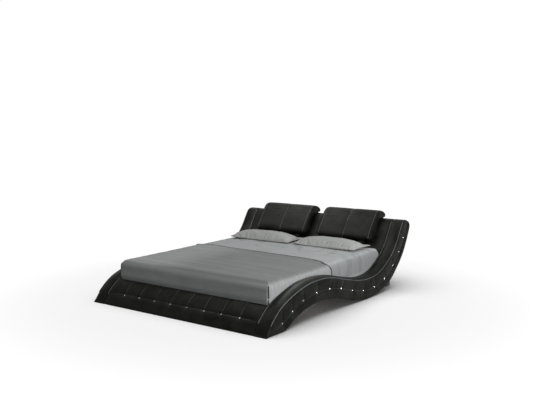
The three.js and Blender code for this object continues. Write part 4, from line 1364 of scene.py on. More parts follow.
@dataclass
class Footboard(Panel):
    """The slanted, tufted footboard."""

    back: float = -1.0893
    toe_gap: float = 0.0005
    sole_gap: float = 0.004
    round_run: float = 0.012
    round_drop: float = 0.008
    row_step: float = 0.014
    ripple: float = 0.0011
    frame_height: float = 0.2142
    frame_shares: tuple[float, ...] = (0.18, 0.32, 0.5, 0.7, 0.9)
    button_pitch: float = 0.2
    button_count: int = 8
    seam_height: float = 0.107
    tufting: Tufting = field(default_factory=lambda: Tufting(swell=0.0025, lower_share=0.4))

    def outline(self, face: Array) -> Array:
        """The side outline: the face, its rounded top edge, the back and the underside."""
        top = face[-1, 1]
        corner = [[self.back - self.round_run + self.round_run * math.sin(a),
                   top - self.round_drop * (1 - math.cos(a))]
                  for a in np.linspace(0.2, QUARTER_TURN, 5)]
        back = np.linspace([self.back, top - self.round_run], [self.back, 0.0], 12)
        under = np.linspace([self.back, 0.0], [BAND.foot_end + self.sole_gap, 0.0], 14)[1:]
        return np.vstack([face, corner, back, under])

    def cutter(self, slope: Array) -> Piece:
        """The space of the timber behind a finely drawn slope."""
        rows = np.array(self.frame_shares) * self.frame_height
        inner = np.stack([np.interp(rows, slope[:, 1], slope[:, 0]), rows], -1)
        tangent = np.gradient(slope, axis=0)
        tangent /= np.linalg.norm(tangent, axis=1, keepdims=True)
        slant = np.stack([np.interp(rows, slope[:, 1], t) for t in tangent.T], -1)
        low = self.padding - SEAT_GAP
        inner += np.stack([slant[:, 1], -slant[:, 0]], -1) * low
        back = self.back + CUT_PAST
        outline = np.vstack([[inner[0, 0] - SEAT_GAP, low], inner + (0, SEAT_GAP),
                             [back, inner[-1, 1] + SEAT_GAP], [back, low]])
        return prism("cutter", outline, -self.reach, self.reach)

    def build(self) -> None:
        """Makes and places the footboard's pieces."""
        buttons = (np.arange(self.button_count) - (self.button_count - 1) / 2) * self.button_pitch
        stations = self.across(buttons, STEP, FINE_STEP)
        slope = BAND.top_between(BAND.foot_end + self.toe_gap, self.back - self.round_run, 600)
        reached = distances(slope)
        seam = np.interp(self.seam_height, slope[:, 1], reached)
        rows = clustered(0.0, reached[-1], [seam], self.row_step, FINE_STEP)
        outline = self.outline(at_distances(slope, rows))
        up, shown = np.zeros(len(outline)), np.zeros(len(outline))
        up[:len(rows)] = rows - seam
        shown[:len(rows)] = smooth_step(0.0, 0.03, rows) * smooth_step(0.0, 0.02, rows[-1] - rows)
        inside = smooth_step(0.0, 0.06, self.half - np.abs(stations))
        wave = self.wave(11, stations, up, (12, 20, 1))
        depth = self.tufting.depth(nearest(stations, buttons)[:, None], up[None])
        skin, grid = self.skin("footboard_cover", stations, outline,
                               (depth - self.ripple * wave) * shown[None] * inside[:, None])
        padded(hollowed(skin, self.cutter(slope)), "footboard_upholstery")
        row = int(np.abs(rows - seam).argmin())
        index = nearest_index(stations, buttons)
        out = np.array([0.0, *outline_normals(outline)[row]])
        crystal_row("footboard_crystals", grid[index, row] + out * CRYSTAL_LIFT, out,
                    "footboard_button_row")
        trimmed(STITCHES, "footboard_stitches", [grid[8:-8, row + 3] + out * SEAM_LIFT],
                Finishes.THREAD)
        seams = [grid[10:-10, row]] + [grid[i, row:len(rows) - 1] for i in index]
        trimmed(PIPING, "footboard_seams", [path + out * SEAM_LIFT for path in seams],
                Finishes.SEAM_LEATHER, Radius=0.0017, Step=0.01)


@dataclass
class Headboard(Panel):
    """The raked headboard behind the headrests."""

    front: float = 0.9133
    frame_end: float = 0.034
    ripple: float = 0.0016
    row_step: float = 0.013

    def outline(self, inset: float, end: float, count: int) -> Array:
        """The band's outline behind the front plane.

        Args:
            inset: how far it lies inside the band's edges.
            end: last place on the band.
            count: points on each edge.

        Returns:
            Array (points, 2) from the front's top over the end to the front's bottom.
        """
        sides = []
        for line in BAND.edges(np.linspace(0.6, end, 1200), inset):
            first = int(np.argmax(line[:, 0] > self.front))
            start = [self.front, np.interp(self.front, line[:first + 1, 0], line[:first + 1, 1])]
            sides.append(evenly_spaced(np.vstack([start, line[first:]]), count))
        return np.vstack([sides[0], sides[1][::-1]])

    def build(self) -> None:
        """Makes and places the headboard's cover."""
        outline = self.outline(0.0, 1.0, 44)
        rounded = np.vstack([outline, np.linspace(outline[-1], outline[0], 14)[1:-1]])
        stations = self.across([0.0], 0.022, 0.002)
        wave = self.wave(17, stations, np.arange(len(rounded)) * self.row_step, (7, 10, 1))
        inside = smooth_step(0.0, 0.05, self.half - np.abs(stations))[:, None]
        shown = np.arange(len(rounded)) < len(outline)
        skin, _ = self.skin("headboard_cover", stations, rounded,
                            -self.ripple * wave * inside * shown[None])
        end = float(BAND.place_at(BAND.total - self.frame_end))
        inner = self.outline(self.padding - SEAT_GAP, end, 14)
        inner[[0, -1], 0] = self.front - CUT_PAST
        cutter = prism("cutter", inner, -self.reach, self.reach)
        padded(hollowed(skin, cutter), "headboard_upholstery")


# Cloth simulation


@dataclass
class Inflation:
    """A short cloth simulation that fills a padded form."""

    cap: float
    pressure: float
    shrink: float = -0.03
    frames: int = 20
    voxel: float = 0.006

    def run(self, piece: Piece, held: SkinRule) -> Piece:
        """Fills a piece and keeps the result as its mesh.

        Args:
            piece: closed form, which is remeshed.
            held: gives each vertex's hold from 0, free, to 1, fixed.

        Returns:
            The same object.
        """
        remesh = piece.modifiers.new("Remesh", "REMESH")
        remesh.mode = "VOXEL"
        remesh.voxel_size = self.voxel
        applied(piece)
        shaded(piece.data, True)
        before, normals = coordinates(piece)
        group = piece.vertex_groups.new(name="held")
        weights = held(before, normals)
        for index, weight in enumerate(weights):
            if weight > 0.01:
                group.add([index], float(weight), "REPLACE")
        cloth = piece.modifiers.new("Cloth", "CLOTH")
        settings = cloth.settings
        settings.use_pressure = True
        settings.uniform_pressure_force = self.pressure
        settings.effector_weights.gravity = 0
        settings.shrink_min = self.shrink
        settings.vertex_group_mass = "held"
        settings.quality = 5
        settings.bending_stiffness = 0.4
        cloth.collision_settings.use_collision = False
        cloth.point_cache.frame_start, cloth.point_cache.frame_end = 1, self.frames
        for number in range(1, self.frames + 1):
            bpy.context.scene.frame_set(number)
        applied(piece)
        bpy.context.scene.frame_set(1)
        piece.vertex_groups.clear()
        after, _ = coordinates(piece)
        move = after - before
        size = np.linalg.norm(move, axis=1, keepdims=True)
        limit = self.cap * (1 - weights[:, None])
        place_vertices(piece, before + move * np.minimum(1, limit / np.maximum(size, 1e-9)))
        return subdivided(piece)


# Headrests


@dataclass
class Headrest:
    """A padded headrest that rolls over the headboard's top edge."""

    side: Side
    centre: float
    width: float = 0.688
    thickness: float = 0.095
    end_radius: float = 0.046
    crown_share: float = 0.1
    board_low_share: float = 0.05
    board_span_share: float = 0.9
    board_back: float = 0.014775
    outline_shares: Shares = (
        (0.285, 0.01), (0.58, -0.013), (0.84, 0.02), (0.96, 0.115), (1, 0.51), (0.955, 0.89),
        (0.885, 1.0), (0.84, 1.085), (0.505, 1.218), (0.05, 1.297), (-0.42, 1.315),
        (-0.74, 1.28), (-0.81, 1.215), (-0.65, 1.187), (-0.37, 1.136), (-0.04, 1.062),
        (0.16, 1.01), (0.285, 0.975))
    end_shares: Shares = (
        (0.285, 0.075), (0.55, 0.068), (0.7, 0.09), (0.77, 0.15), (0.82, 0.51), (0.83, 0.86),
        (0.8, 0.96), (0.76, 1.04), (0.49, 1.17), (0.075, 1.25), (-0.37, 1.28),
        (-0.67, 1.253), (-0.75, 1.208), (-0.61, 1.18), (-0.35, 1.133), (-0.03, 1.0625),
        (0.165, 1.0125), (0.285, 0.976))
    seam_up_share: float = 0.9
    seam_share: float = 0.046
    seam_lift: float = 0.0008
    roll: float = 0.006
    points: int = 132

    def __post_init__(self) -> None:
        """Reads the face's slant from the board's CAD node."""
        node = frame["nodes"][f"{self.side.label}_headrest_board"]
        corners = np.array([v.co for v in node.data.vertices])[:, 1:]
        corners = np.unique(np.round(corners, 6), axis=0)
        corners = corners[corners[:, 1].argsort()]
        back_low, back_high = (pair[pair[:, 0].argmax()] for pair in (corners[:2], corners[-2:]))
        rise = back_high - back_low
        span = np.linalg.norm(rise)
        self.up = rise / span
        self.out = np.array([-self.up[1], self.up[0]])
        self.length = span / self.board_span_share
        self.origin = (back_low - self.up * self.board_low_share * self.length
                       - self.out * self.board_back)

    def section(self, share: float) -> Array:
        """The side outline at a share of the way from the middle's to the ends'."""
        shares, ends = np.array(self.outline_shares), np.array(self.end_shares)
        return (shares + (ends - shares) * share) * (self.thickness, self.length)

    def world(self, across: float, drawn: Array) -> Array:
        """Points from a distance across and from distances out of the face and up it."""
        plane = self.origin + drawn[:, :1] * self.out + drawn[:, 1:] * self.up
        return np.column_stack([np.full(len(drawn), across + self.centre), plane])

    def local(self, places: Array) -> tuple[Array, Array, Array]:
        """Distances across, out of the face and up it of some points."""
        plane = places[:, 1:] - self.origin
        return places[:, 0] - self.centre, plane @ self.out, plane @ self.up

    def rings(self) -> Array:
        """The rings of the padded form across the bed."""
        flat = self.width / 2 - self.end_radius
        angles = np.linspace(0, QUARTER_TURN, 9)
        inner = np.linspace(0, flat, 20)
        x = np.concatenate([inner, flat + self.end_radius * np.sin(angles[1:])])
        swell = -self.crown_share * np.sin(np.pi * np.clip(inner / flat, 0, 1)) ** 0.8
        pull = np.concatenate([swell, 1 - np.cos(angles[1:])])
        x = np.concatenate([-x[:0:-1], x])
        pull = np.concatenate([pull[:0:-1], pull])
        return np.stack([self.world(place, closed_spline(self.section(share), self.points))
                         for place, share in zip(x, pull)])

    def held(self, places: Array, normals: Array) -> Array:
        """How firmly the cover is held: at the seams and wherever it meets the headboard."""
        across, out, up = self.local(places)
        behind = normals[:, 1:] @ self.out < 0.1
        flat = smooth_step(0.6, 0.3, out / self.thickness) * (up < self.length)
        low = np.maximum(flat, smooth_step(0.6, 0.08, up / self.length))
        ends = smooth_step(self.seam_reach - 0.09, self.seam_reach, np.abs(across))
        seams = np.maximum(0.7 * bump(across, 0.06), 0.8 * ends)
        stitched = 0.35 * bump(up - self.seam_up_share * self.length, 0.05) * (out > 0.03)
        return np.clip(np.maximum.reduce([behind * 1.0, low, seams, stitched]), 0, 1)

    def creases(self, places: Array, normals: Array) -> Array:
        """Seams pressed into the cover, with small ripples beside them."""
        across, out, up = self.local(places)
        front = smooth_step(-0.2, 0.3, normals[:, 1:] @ self.out + 0.5 * (up > self.length))
        centre = -0.003 * bump(across, 0.0045) - 0.0015 * bump(across, 0.03)
        ends = -0.0025 * bump(np.abs(across) - self.seam_reach, 0.004)
        height = up - self.seam_up_share * self.length
        stitched = (-0.0022 * bump(height, 0.0045) - 0.001 * bump(height, 0.016)) * (out > 0.03)
        ripple = Noise(23 + self.side.value)(places, (26, 60, 60))
        ripple = 0.0017 * ripple * bump(height + 0.01, 0.035)
        slow = 0.0014 * Noise(31 + self.side.value)(places, (8, 16, 16))
        rolled = smooth_step(0.93, 1.08, up / self.length)
        rolled = self.roll * rolled * smooth_step(0.2, 0.7, normals[:, 1:] @ self.up)
        return (centre + ends + stitched + ripple + slow) * front + rolled

    @property
    def seam_reach(self) -> float:
        """Distance of the end seams from the middle."""
        return self.width / 2 - 0.7 * self.end_radius

    def seam_paths(self, skin: Piece) -> list[Array]:
        """Paths of the centre seam and both end seams, on the skin."""
        paths = []
        for side in (-1, 0, 1):
            front = self.section(self.seam_share * abs(side))[2:12]
            drawn = evenly_spaced(spline(front, np.linspace(0, 1, 200)), 70)
            path = self.world(side * self.seam_reach, drawn)
            paths.append(snapped(path, skin, self.seam_lift))
        return paths

    def build(self) -> None:
        """Makes and places the headrest's cushion."""
        label = self.side.label
        skin = loft(f"{label}_headrest_cover", domed(self.rings(), 0.004))
        Inflation(cap=0.006, pressure=2.0, shrink=0.0).run(skin, self.held)
        body = Body.of_headrest(self.side)
        cushion = padded(displaced(skin, self.creases), f"{label}_headrest_cushion", body=body)
        trimmed(PIPING, f"{label}_headrest_seams", self.seam_paths(cushion), Finishes.EDGE_LEATHER,
                body, Radius=0.0024, Step=0.01)


# Bedding


def at_height(plan: Array, height: float) -> Array:
    """Points in plan put at a height."""
    return np.column_stack([plan, np.full(len(plan), height)])


@dataclass
class MattressForm:
    """The mattress's form, which the sheet and coverlet follow at an offset."""

    half_width: float = 0.895
    half_length: float = 0.995
    centre: float = -0.0854
    base: float = 0.2043
    height: float = 0.19
    edge: float = 0.06
    crown: float = 0.011
    crown_span: float = 0.52
    head_rise: float = 0.11
    head_corner: float = 0.055
    foot_corner: float = 0.016
    corner_steps: int = 6
    across_steps: int = 150
    along_steps: int = 166

    def plumped(self, places: Array) -> Array:
        """Thickens the form towards the head."""
        raised = places.copy()
        along = (places[..., 1] - self.centre + self.half_length) / (2 * self.half_length)
        raised[..., 2] = self.base + (places[..., 2] - self.base) * (1 + self.head_rise * along)
        return raised

    def crown_at(self, x: Array, y: Array) -> Array:
        """How far the top has risen inwards from its edges."""
        rise = 1.0
        for inset in (self.half_width - np.abs(x), self.half_length - np.abs(y - self.centre)):
            share = np.clip((inset - self.edge) / self.crown_span, 0, 1)
            rise = rise * (1 - (1 - share) ** 2.65)
        return self.crown * rise

    def profile(self, offset: float, side_steps: int, arc_steps: int) -> list[Pair]:
        """Insets and heights up the side and over the rounded edge."""
        shoulder = self.base + self.height - self.edge
        reach = self.edge + offset
        side = [(-offset, z) for z in np.linspace(self.base, shoulder, side_steps + 1)[:-1]]
        arc = [(reach * (1 - math.cos(a)) - offset, shoulder + reach * math.sin(a))
               for a in np.linspace(0, QUARTER_TURN, arc_steps + 1)]
        return side + arc

    def top_grid(self, offset: float) -> Array:
        """The top inside the rounded edges, array (across, along, 3)."""
        y = np.linspace(-1, 1, self.along_steps + 1) * (self.half_length - self.edge) + self.centre
        return self.top_at(*np.meshgrid(self.columns, y, indexing="ij"), offset)

    @property
    def columns(self) -> Array:
        """The places across the top inside the rounded edges."""
        return np.linspace(-1, 1, self.across_steps + 1) * (self.half_width - self.edge)

    def top_at(self, x: Array, y: Array, offset: float) -> Array:
        """Points of the top at places in plan, array (..., 3)."""
        z = self.base + self.height + offset + self.crown_at(x, y)
        return np.stack([x, y, z], -1)

    def corner(self, inset: float, side_x: int, side_y: int) -> Array:
        """A corner's arc in plan, from the end edge round to the side edge."""
        radius = max((self.head_corner if side_y > 0 else self.foot_corner) - inset, 0.0)
        angles = np.linspace(0, QUARTER_TURN, self.corner_steps + 1)
        x = side_x * (self.half_width - inset - radius + radius * np.sin(angles))
        y = self.centre + side_y * (self.half_length - inset - radius + radius * np.cos(angles))
        return np.stack([x, y], -1)

    def ring(self, inset: float) -> Array:
        """The whole outline at an inset, matched to the top grid's border."""
        head_right, foot_right = self.corner(inset, 1, 1), self.corner(inset, 1, -1)[::-1]
        foot_left, head_left = self.corner(inset, -1, -1), self.corner(inset, -1, 1)[::-1]
        parts = []
        loop = [(head_right, self.along_steps), (foot_right, self.across_steps),
                (foot_left, self.along_steps), (head_left, self.across_steps)]
        for index, (arc, steps) in enumerate(loop):
            following = loop[(index + 1) % 4][0]
            parts.extend([arc, np.linspace(arc[-1], following[0], steps + 1)[1:-1]])
        return np.vstack(parts)

    def shell(self, name: str, offset: float) -> Piece:
        """A skin over the top and sides, open underneath."""
        rings = [at_height(self.ring(inset), z) for inset, z in self.profile(offset, 14, 7)]
        return self.joined(name, np.stack(rings), self.top_grid(offset), True)

    def joined(self, name: str, rings: Array, top: Array, closed: bool) -> Piece:
        """Joins rows up the sides and the grid of the top into one plumped skin.

        Args:
            name: the object's name.
            rings: array (rows, points, 3) of the sides.
            top: array (across, along, 3).
            closed: whether each row is a loop.

        Returns:
            The new object.
        """
        faces = grid_faces(*rings.shape[:2], closed)
        faces += grid_faces(*top.shape[:2], False, rings.shape[0] * rings.shape[1])
        vertices = np.vstack([rings.reshape(-1, 3), top.reshape(-1, 3)])
        return built(name, self.plumped(vertices), faces)


FORM = MattressForm()


def facing_up(normals: Array) -> Array:
    """1 where a skin faces up, and less towards its sides."""
    return smooth_step(0.5, 0.9, normals[:, 2])


def head_puff(places: Array) -> Array:
    """The bedding's extra fullness, most of all past the middle."""
    along = (places[:, 1] - FORM.centre) / FORM.half_length
    across = np.clip(1 - (places[:, 0] / 0.85) ** 2, 0, 1)
    return 0.004 * across * bump(along - 0.1, 0.7)


@dataclass
class Mattress:
    """The mattress, with tufts in its top."""

    pitch: float = 0.2
    tuft: float = 0.004

    def tufts(self, places: Array, normals: Array) -> Array:
        """Draws the top in at evenly spaced tufts."""
        phase = (places[:, :2] - (0, FORM.centre)) / self.pitch
        gap = (phase - np.round(phase)) * self.pitch
        inside = np.abs(places[:, 0]) < FORM.half_width - FORM.edge
        inside &= np.abs(places[:, 1] - FORM.centre) < FORM.half_length - FORM.edge
        return -self.tuft * bump(np.hypot(*gap.T), 0.018) * inside * (np.abs(normals[:, 2]) > 0.7)

    def build(self) -> None:
        """Makes and places the mattress."""
        skin = FORM.shell("mattress_cover", 0.0)
        with opened(skin.data) as shell:
            bmesh.ops.contextual_create(shell, geom=[e for e in shell.edges if e.is_boundary])
        padded(displaced(skin, self.tufts), "mattress", Finishes.TICKING)


@dataclass
class FittedSheet:
    """The fitted sheet, stretched over the mattress."""

    offset: float = 0.0023
    thickness: float = 0.0016
    fullness: float = 0.0036

    def streaks(self, places: Array) -> Array:
        """Noise in long streaks across the bed, from 0 to 1."""
        return np.abs(Noise(41)(places, (3.2, 30, 4)))

    def creases(self, places: Array, normals: Array) -> tuple[Array, Array]:
        """Shares of the puckers on the top near the head, and of the upright side creases."""
        top = facing_up(normals)
        pucker = smooth_step(0.17, 0.0, np.abs(Noise(45)(places, (5.5, 9, 4))))
        pucker = pucker * top * smooth_step(0.05, 0.3, places[:, 1])
        crease = smooth_step(0.16, 0.0, np.abs(Noise(43)(places, (2.5, 11, 1.6))))
        shown = smooth_step(0.0, 0.06, places[:, 1]) * smooth_step(0.72, 0.5, places[:, 1])
        shown = shown * smooth_step(0.205, 0.25, places[:, 2]) * (1 - top)
        return pucker, crease * shown

    def wrinkles(self, places: Array, normals: Array) -> Array:
        """Fine folds across the top near the head, and upright ones down the sides."""
        top = facing_up(normals)
        open_top = smooth_step(-0.02, 0.12, places[:, 1])
        pucker, crease = self.creases(places, normals)
        soft = 0.0034 * (0.5 - self.streaks(places)) + self.fullness
        soft = soft * open_top * top - self.fullness * pucker
        side = (1 - top) * smooth_step(-0.1, 0.1, places[:, 1])
        side = side * smooth_step(0.205, 0.25, places[:, 2]) * smooth_step(0.85, 0.6, places[:, 1])
        upright = 0.0058 * side - 0.0052 * crease + 0.0012 * Noise(44)(places, (2, 30, 5)) * side
        return soft + head_puff(places) * top + np.maximum(upright, 0)

    def folds(self, places: Array, normals: Array) -> Array:
        """Painted shade in the creases, softly across the open top, and over the sides."""
        pucker, crease = self.creases(places, normals)
        streak = smooth_step(0.25, 0.8, self.streaks(places)) * facing_up(normals)
        # Painted shade on the sides, darker than the top.
        side = smooth_step(0.9, 0.5, normals[:, 2]) * smooth_step(0.2, 0.26, places[:, 2])
        return 0.5 * pucker + 0.5 * crease + 0.22 * streak + 0.8 * side

    def build(self) -> None:
        """Makes and places the sheet."""
        skin = marked(FORM.shell("fitted_sheet_cloth", self.offset), self.folds)
        displaced(skin, self.wrinkles)
        cloth = finished(thickened(skin, self.thickness), Finishes.SHEET)
        placed(cloth, Body.BED)
        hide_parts("fitted_sheet")


@dataclass
class Coverlet:
    """The coverlet, laid over the foot of the bed, with dark piping."""

    offset: float = 0.0086
    thickness: float = 0.005
    edge_points: Shares = (
        (-0.835, -0.003), (-0.686, -0.002), (-0.314, -0.049), (0.054, -0.060), (0.349, -0.079),
        (0.613, -0.075), (0.752, -0.090), (0.80, -0.104), (0.835, -0.122))
    side_points: Shares = (
        (0.204, -0.085), (0.313, -0.085), (0.352, -0.092), (0.393, -0.113), (0.412, -0.150),
        (0.422, -0.122))
    lean: float = 0.009
    edge_reach: float = 0.835

    def top_edge(self, x: Array) -> Array:
        """Where the coverlet ends on the top of the bed."""
        places = spline(np.array(self.edge_points), np.linspace(0, 1, 400))
        return np.interp(x, places[:, 0], places[:, 1])

    def side_edge(self, height: float, side: int) -> float:
        """Where the coverlet ends on a side at a height."""
        heights, places = np.array(self.side_points).T
        shift = 0.0 if side > 0 else self.corner_edge(-1) - self.edge_points[-1][1]
        return float(np.interp(height, heights, places)) + shift

    def corner_edge(self, side: int) -> float:
        """Where the top's edge meets a side."""
        return float(self.top_edge(np.array([side * self.edge_reach]))[0])

    def skin(self) -> tuple[Piece, list[Array]]:
        """The coverlet's outer face and the paths of its piping."""
        rows = []
        for inset, z in FORM.profile(self.offset, 16, 9):
            on_top = inset >= FORM.edge - WELD
            ends = [self.corner_edge(side) if on_top else self.side_edge(z + 0.01, side)
                    for side in (-1, 1)]
            left, right = FORM.corner(inset, -1, -1)[::-1], FORM.corner(inset, 1, -1)
            start = np.linspace([left[0, 0], ends[0]], left[0], FORM.along_steps + 1)[:-1]
            foot = np.linspace(left[-1], right[0], FORM.across_steps + 1)[1:-1]
            finish = np.linspace(right[-1], [right[-1, 0], ends[1]], FORM.along_steps + 1)[1:]
            rows.append(at_height(np.vstack([start, left, foot, right, finish]), z))
        rings = np.stack(rows)
        x = FORM.columns[:, None]
        foot = FORM.centre - FORM.half_length + FORM.edge
        share = np.linspace(0, 1, FORM.along_steps + 1)
        y = foot + (self.top_edge(x) - foot) * share[None]
        top = FORM.top_at(np.broadcast_to(x, y.shape), y, self.offset)
        border = np.vstack([rings[:, 0], top[1:-1, -1], rings[::-1, -1]])
        middle = FORM.along_steps + FORM.corner_steps // 2
        corners = [rings[:-6, middle], rings[:-6, rings.shape[1] - 1 - middle]]
        paths = [FORM.plumped(path) for path in (border, *corners)]
        return FORM.joined("coverlet_cloth", rings, top, False), paths

    def drape(self, places: Array, normals: Array) -> Array:
        """Soft waves on top, a leaning front, and faint folds across the bed."""
        top = facing_up(normals)
        front = smooth_step(-0.5, -0.9, normals[:, 1])
        right = smooth_step(0.5, 0.9, np.abs(normals[:, 0]))
        fold = Noise(51)(places, (1.6, 24, 3)) + 0.5 * Noise(52)(places, (3, 50, 3))
        wave = Noise(53)(places, (3, 5, 4))
        waves = Noise(54)(places, (2.5, 2, 17))
        low = smooth_step(0.36, 0.2, places[:, 2])
        clear = smooth_step(0.21, 0.26, places[:, 2])
        side = Noise(55)(places, (2, 9, 5)) * smooth_step(0.24, 0.32, places[:, 2])
        hem = smooth_step(0.035, 0.008, self.top_edge(places[:, 0]) - places[:, 1])
        return ((0.0014 * fold + 0.0018 * wave + 0.004 * hem + head_puff(places)) * top
                + (self.lean * low + 0.0012 * waves) * front * clear
                + 0.0018 * side * right)

    def folds(self, places: Array, normals: Array) -> Array:
        """Painted shade in streaks and broad patches across the top, darker towards the right, and
        under the top edge of the front.
        """
        top = facing_up(normals)
        front = smooth_step(-0.5, -0.9, normals[:, 1])
        streak = smooth_step(-0.1, 0.8, Noise(51)(places, (1.6, 24, 3)))
        broad = smooth_step(0.0, 0.9, Noise(56)(places, (1.1, 7, 3)))
        # Painted shade under the rounded top edge of the front.
        under = bump(places[:, 2] - 0.335, 0.04)
        # Painted shade over the top, darker towards the right.
        painted_shade_to_right = smooth_step(-0.62, 0.05, places[:, 0])
        return (0.12 * streak + 0.12 * broad + painted_shade_to_right) * top + 0.06 * under * front

    def build(self) -> None:
        """Makes and places the coverlet and its piping."""
        skin, paths = self.skin()
        displaced(marked(skin, self.folds), self.drape)
        cloth = finished(thickened(skin, self.thickness), Finishes.COVERLET)
        lifted = [snapped(path, cloth, 0.0012) for path in paths]
        on_top = lifted[0][:, 2] > FORM.base + FORM.height + 0.005
        lifted[0][on_top] += (0, -0.004, 0.0038)
        placed(cloth, Body.BED)
        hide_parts("coverlet")
        # Dark piping, which along the head-side edge is also painted shadow under the edge.
        piping = trimmed(PIPING, "coverlet_piping", lifted, Finishes.DARK_EDGE, slot="coverlet",
                         Radius=0.0054, Step=0.012)


@dataclass
class Pillow:
    """A plump pillow with pointed corners and a piped seam."""

    side: Side
    centre: float
    width: float
    depth: float = 0.41
    height: float = 0.098
    seam_share: float = 0.24
    end_share: float = 0.12
    end_hollow_share: float = 0.035
    side_hollow_share: float = 0.05
    section: Shares = (
        (-1, 0.24), (-0.94, 0.07), (-0.6, 0), (0, 0), (0.55, 0), (0.82, 0.05), (1, 0.18),
        (0.76, 0.22), (0.5, 0.28), (0.34, 0.58), (0.147, 0.88), (-0.147, 0.985), (-0.47, 0.91),
        (-0.78, 0.68), (-0.95, 0.43))

    def __post_init__(self) -> None:
        """Reads where the pillow lies from its CAD node."""
        low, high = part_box(f"{self.side.label}_pillow")
        self.base = float(low[2])
        self.middle = float(low[1] + high[1]) / 2

    def rings(self) -> Array:
        """The rings of the filled form along the pillow."""
        size = (self.depth / 2, self.height)
        across, up = (closed_spline(np.array(self.section) * size, 96) / size).T
        along = np.sin(np.linspace(-QUARTER_TURN, QUARTER_TURN, 61))[:, None]
        fill = self.end_share + (1 - self.end_share) * (1 - np.abs(along) ** 2.5) ** 0.6
        z = self.base + self.height * (self.seam_share + (up - self.seam_share) * fill)
        return np.stack([*self.plan(along, across), z], -1)

    def plan(self, along: Array, across: Array) -> tuple[Array, Array]:
        """Places in plan from shares of the half width and half depth, with hollow edges."""
        x = self.width / 2 * along * (1 - self.end_hollow_share * (1 - across**2))
        y = self.depth / 2 * across * (1 - self.side_hollow_share * (1 - along**2))
        return self.centre + x, self.middle + y

    def reach(self, places: Array) -> Array:
        """Shares of the half width from the middle."""
        return np.abs(places[:, 0] - self.centre) / (self.width / 2)

    def held(self, places: Array, normals: Array) -> Array:
        """The underside and the seam hold still."""
        edge = smooth_step(0.9, 0.97, self.reach(places))
        under = smooth_step(-0.1, -0.5, normals[:, 2])
        rear = smooth_step(self.middle + 0.08, self.middle + 0.13, places[:, 1])
        return np.maximum.reduce([edge, under, rear])

    def seam(self) -> Array:
        """The path of the case's seam, right round the pillow."""
        along, across = np.sin(np.linspace(-QUARTER_TURN, QUARTER_TURN, 81)), np.linspace(-1, 1, 41)
        side, end = np.ones(len(along)), np.ones(len(across))
        plan = self.plan(np.concatenate([along, end, along[::-1], -end]),
                         np.concatenate([-side, across, side, across[::-1]]))
        height = self.base + self.height * self.seam_share
        return evenly_spaced(at_height(np.column_stack(plan), height), 260)

    def long_folds(self, places: Array) -> Array:
        """Noise in long waves that run askew along the pillow."""
        tilted = places @ np.array([[1, 0.35, 0], [-0.35, 1, 0], [0, 0, 1]])
        return Noise(61 + self.side.value)(tilted, (4, 22, 6))

    def shade(self, places: Array, normals: Array) -> Array:
        """Soft shade in the hollows between the folds."""
        return 0.14 * smooth_step(0.2, -0.7, self.long_folds(places))

    def folds(self, places: Array, normals: Array) -> Array:
        """Folds that run from the corners and ends into the filling."""
        top = smooth_step(0.05, 0.5, normals[:, 2])
        across = (places[:, 1] - self.middle) / (self.depth / 2)
        clear = smooth_step(0.6, 0.2, across)
        ends = smooth_step(0.5, 0.95, self.reach(places))
        ends = Noise(63 + self.side.value)(places, (9, 40, 10)) * ends
        front = Noise(65 + self.side.value)(places, (30, 8, 14)) * smooth_step(-0.5, -0.9, across)
        return (0.0042 * self.long_folds(places) + 0.0026 * ends + 0.001 * front) * top * clear

    def build(self) -> None:
        """Makes and places the pillow and its piping."""
        label = self.side.label
        skin = loft(f"{label}_pillow_case", self.rings())
        Inflation(cap=0.008, pressure=3.0).run(skin, self.held)
        displaced(marked(skin, self.shade), self.folds)
        case = padded(skin, f"{label}_pillow", Finishes.PILLOW)
        trimmed(PIPING, f"{label}_pillow_piping", [snapped(self.seam(), case, 0.0)],
                Finishes.PILLOW, slot="sheet", Radius=0.0017, Step=0.012)


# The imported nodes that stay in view


class Carcass:
    """The timber and hardware that the CAD model brings."""

    FINISH_BY_SLOT = {
        "plywood": Finishes.PLYWOOD,
        "black_plywood": Finishes.BLACK_PLYWOOD,
        "pine": Finishes.PINE,
        "steel": Finishes.STEEL,
        "black_steel": Finishes.BLACK_STEEL,
        "plastic": Finishes.PLASTIC,
    }
    LONG = ("ledger", "beam")

    def build(self) -> None:
        """Gives each node that stays its finish."""
        for row in frame["record"]["subparts"]:
            finish = self.FINISH_BY_SLOT.get(row["material_slot"])
            node = frame["nodes"][row["node"]]
            if finish is None or node.hide_render:
                continue
            if any(word in row["node"] for word in self.LONG):
                finish = Finishes.LONG_PINE
            for slot in node.material_slots:
                slot.material = finish.material()
            LOG.info("%s: %s", row["node"], finish.name)


# Studio


def link(lamp: Piece, receiver: Piece, state: str) -> None:
    """Makes a lamp light only a receiver, with INCLUDE, or all but it, with EXCLUDE."""
    linked = lamp.light_linking.receiver_collection
    if linked is None:
        linked = bpy.data.collections.new(f"{lamp.name}_receivers")
        lamp.light_linking.receiver_collection = linked
    linked.objects.link(receiver)
    linked.collection_objects[len(linked.objects) - 1].light_linking.link_state = state


@dataclass(frozen=True)
class Lamp:
    """A soft rectangular lamp, which may light only the floor, or spare it."""

    name: str
    place: Triple
    aim: Triple
    size: Pair
    watts: float
    floor: str = ""
    gloss_only: bool = False

    def build(self, floor: Piece) -> None:
        """Adds the lamp and links it to the floor."""
        data = bpy.data.lights.new(self.name, "AREA")
        data.shape = "RECTANGLE"
        data.size, data.size_y = self.size
        data.energy = self.watts
        lamp = new_object(self.name, data)
        lamp.location = self.place
        direction = Vector(self.aim) - Vector(self.place)
        lamp.rotation_euler = direction.to_track_quat("-Z", "Y").to_euler()
        if self.gloss_only:
            lamp.visible_camera = lamp.visible_diffuse = False
        if self.floor:
            link(lamp, floor, self.floor)


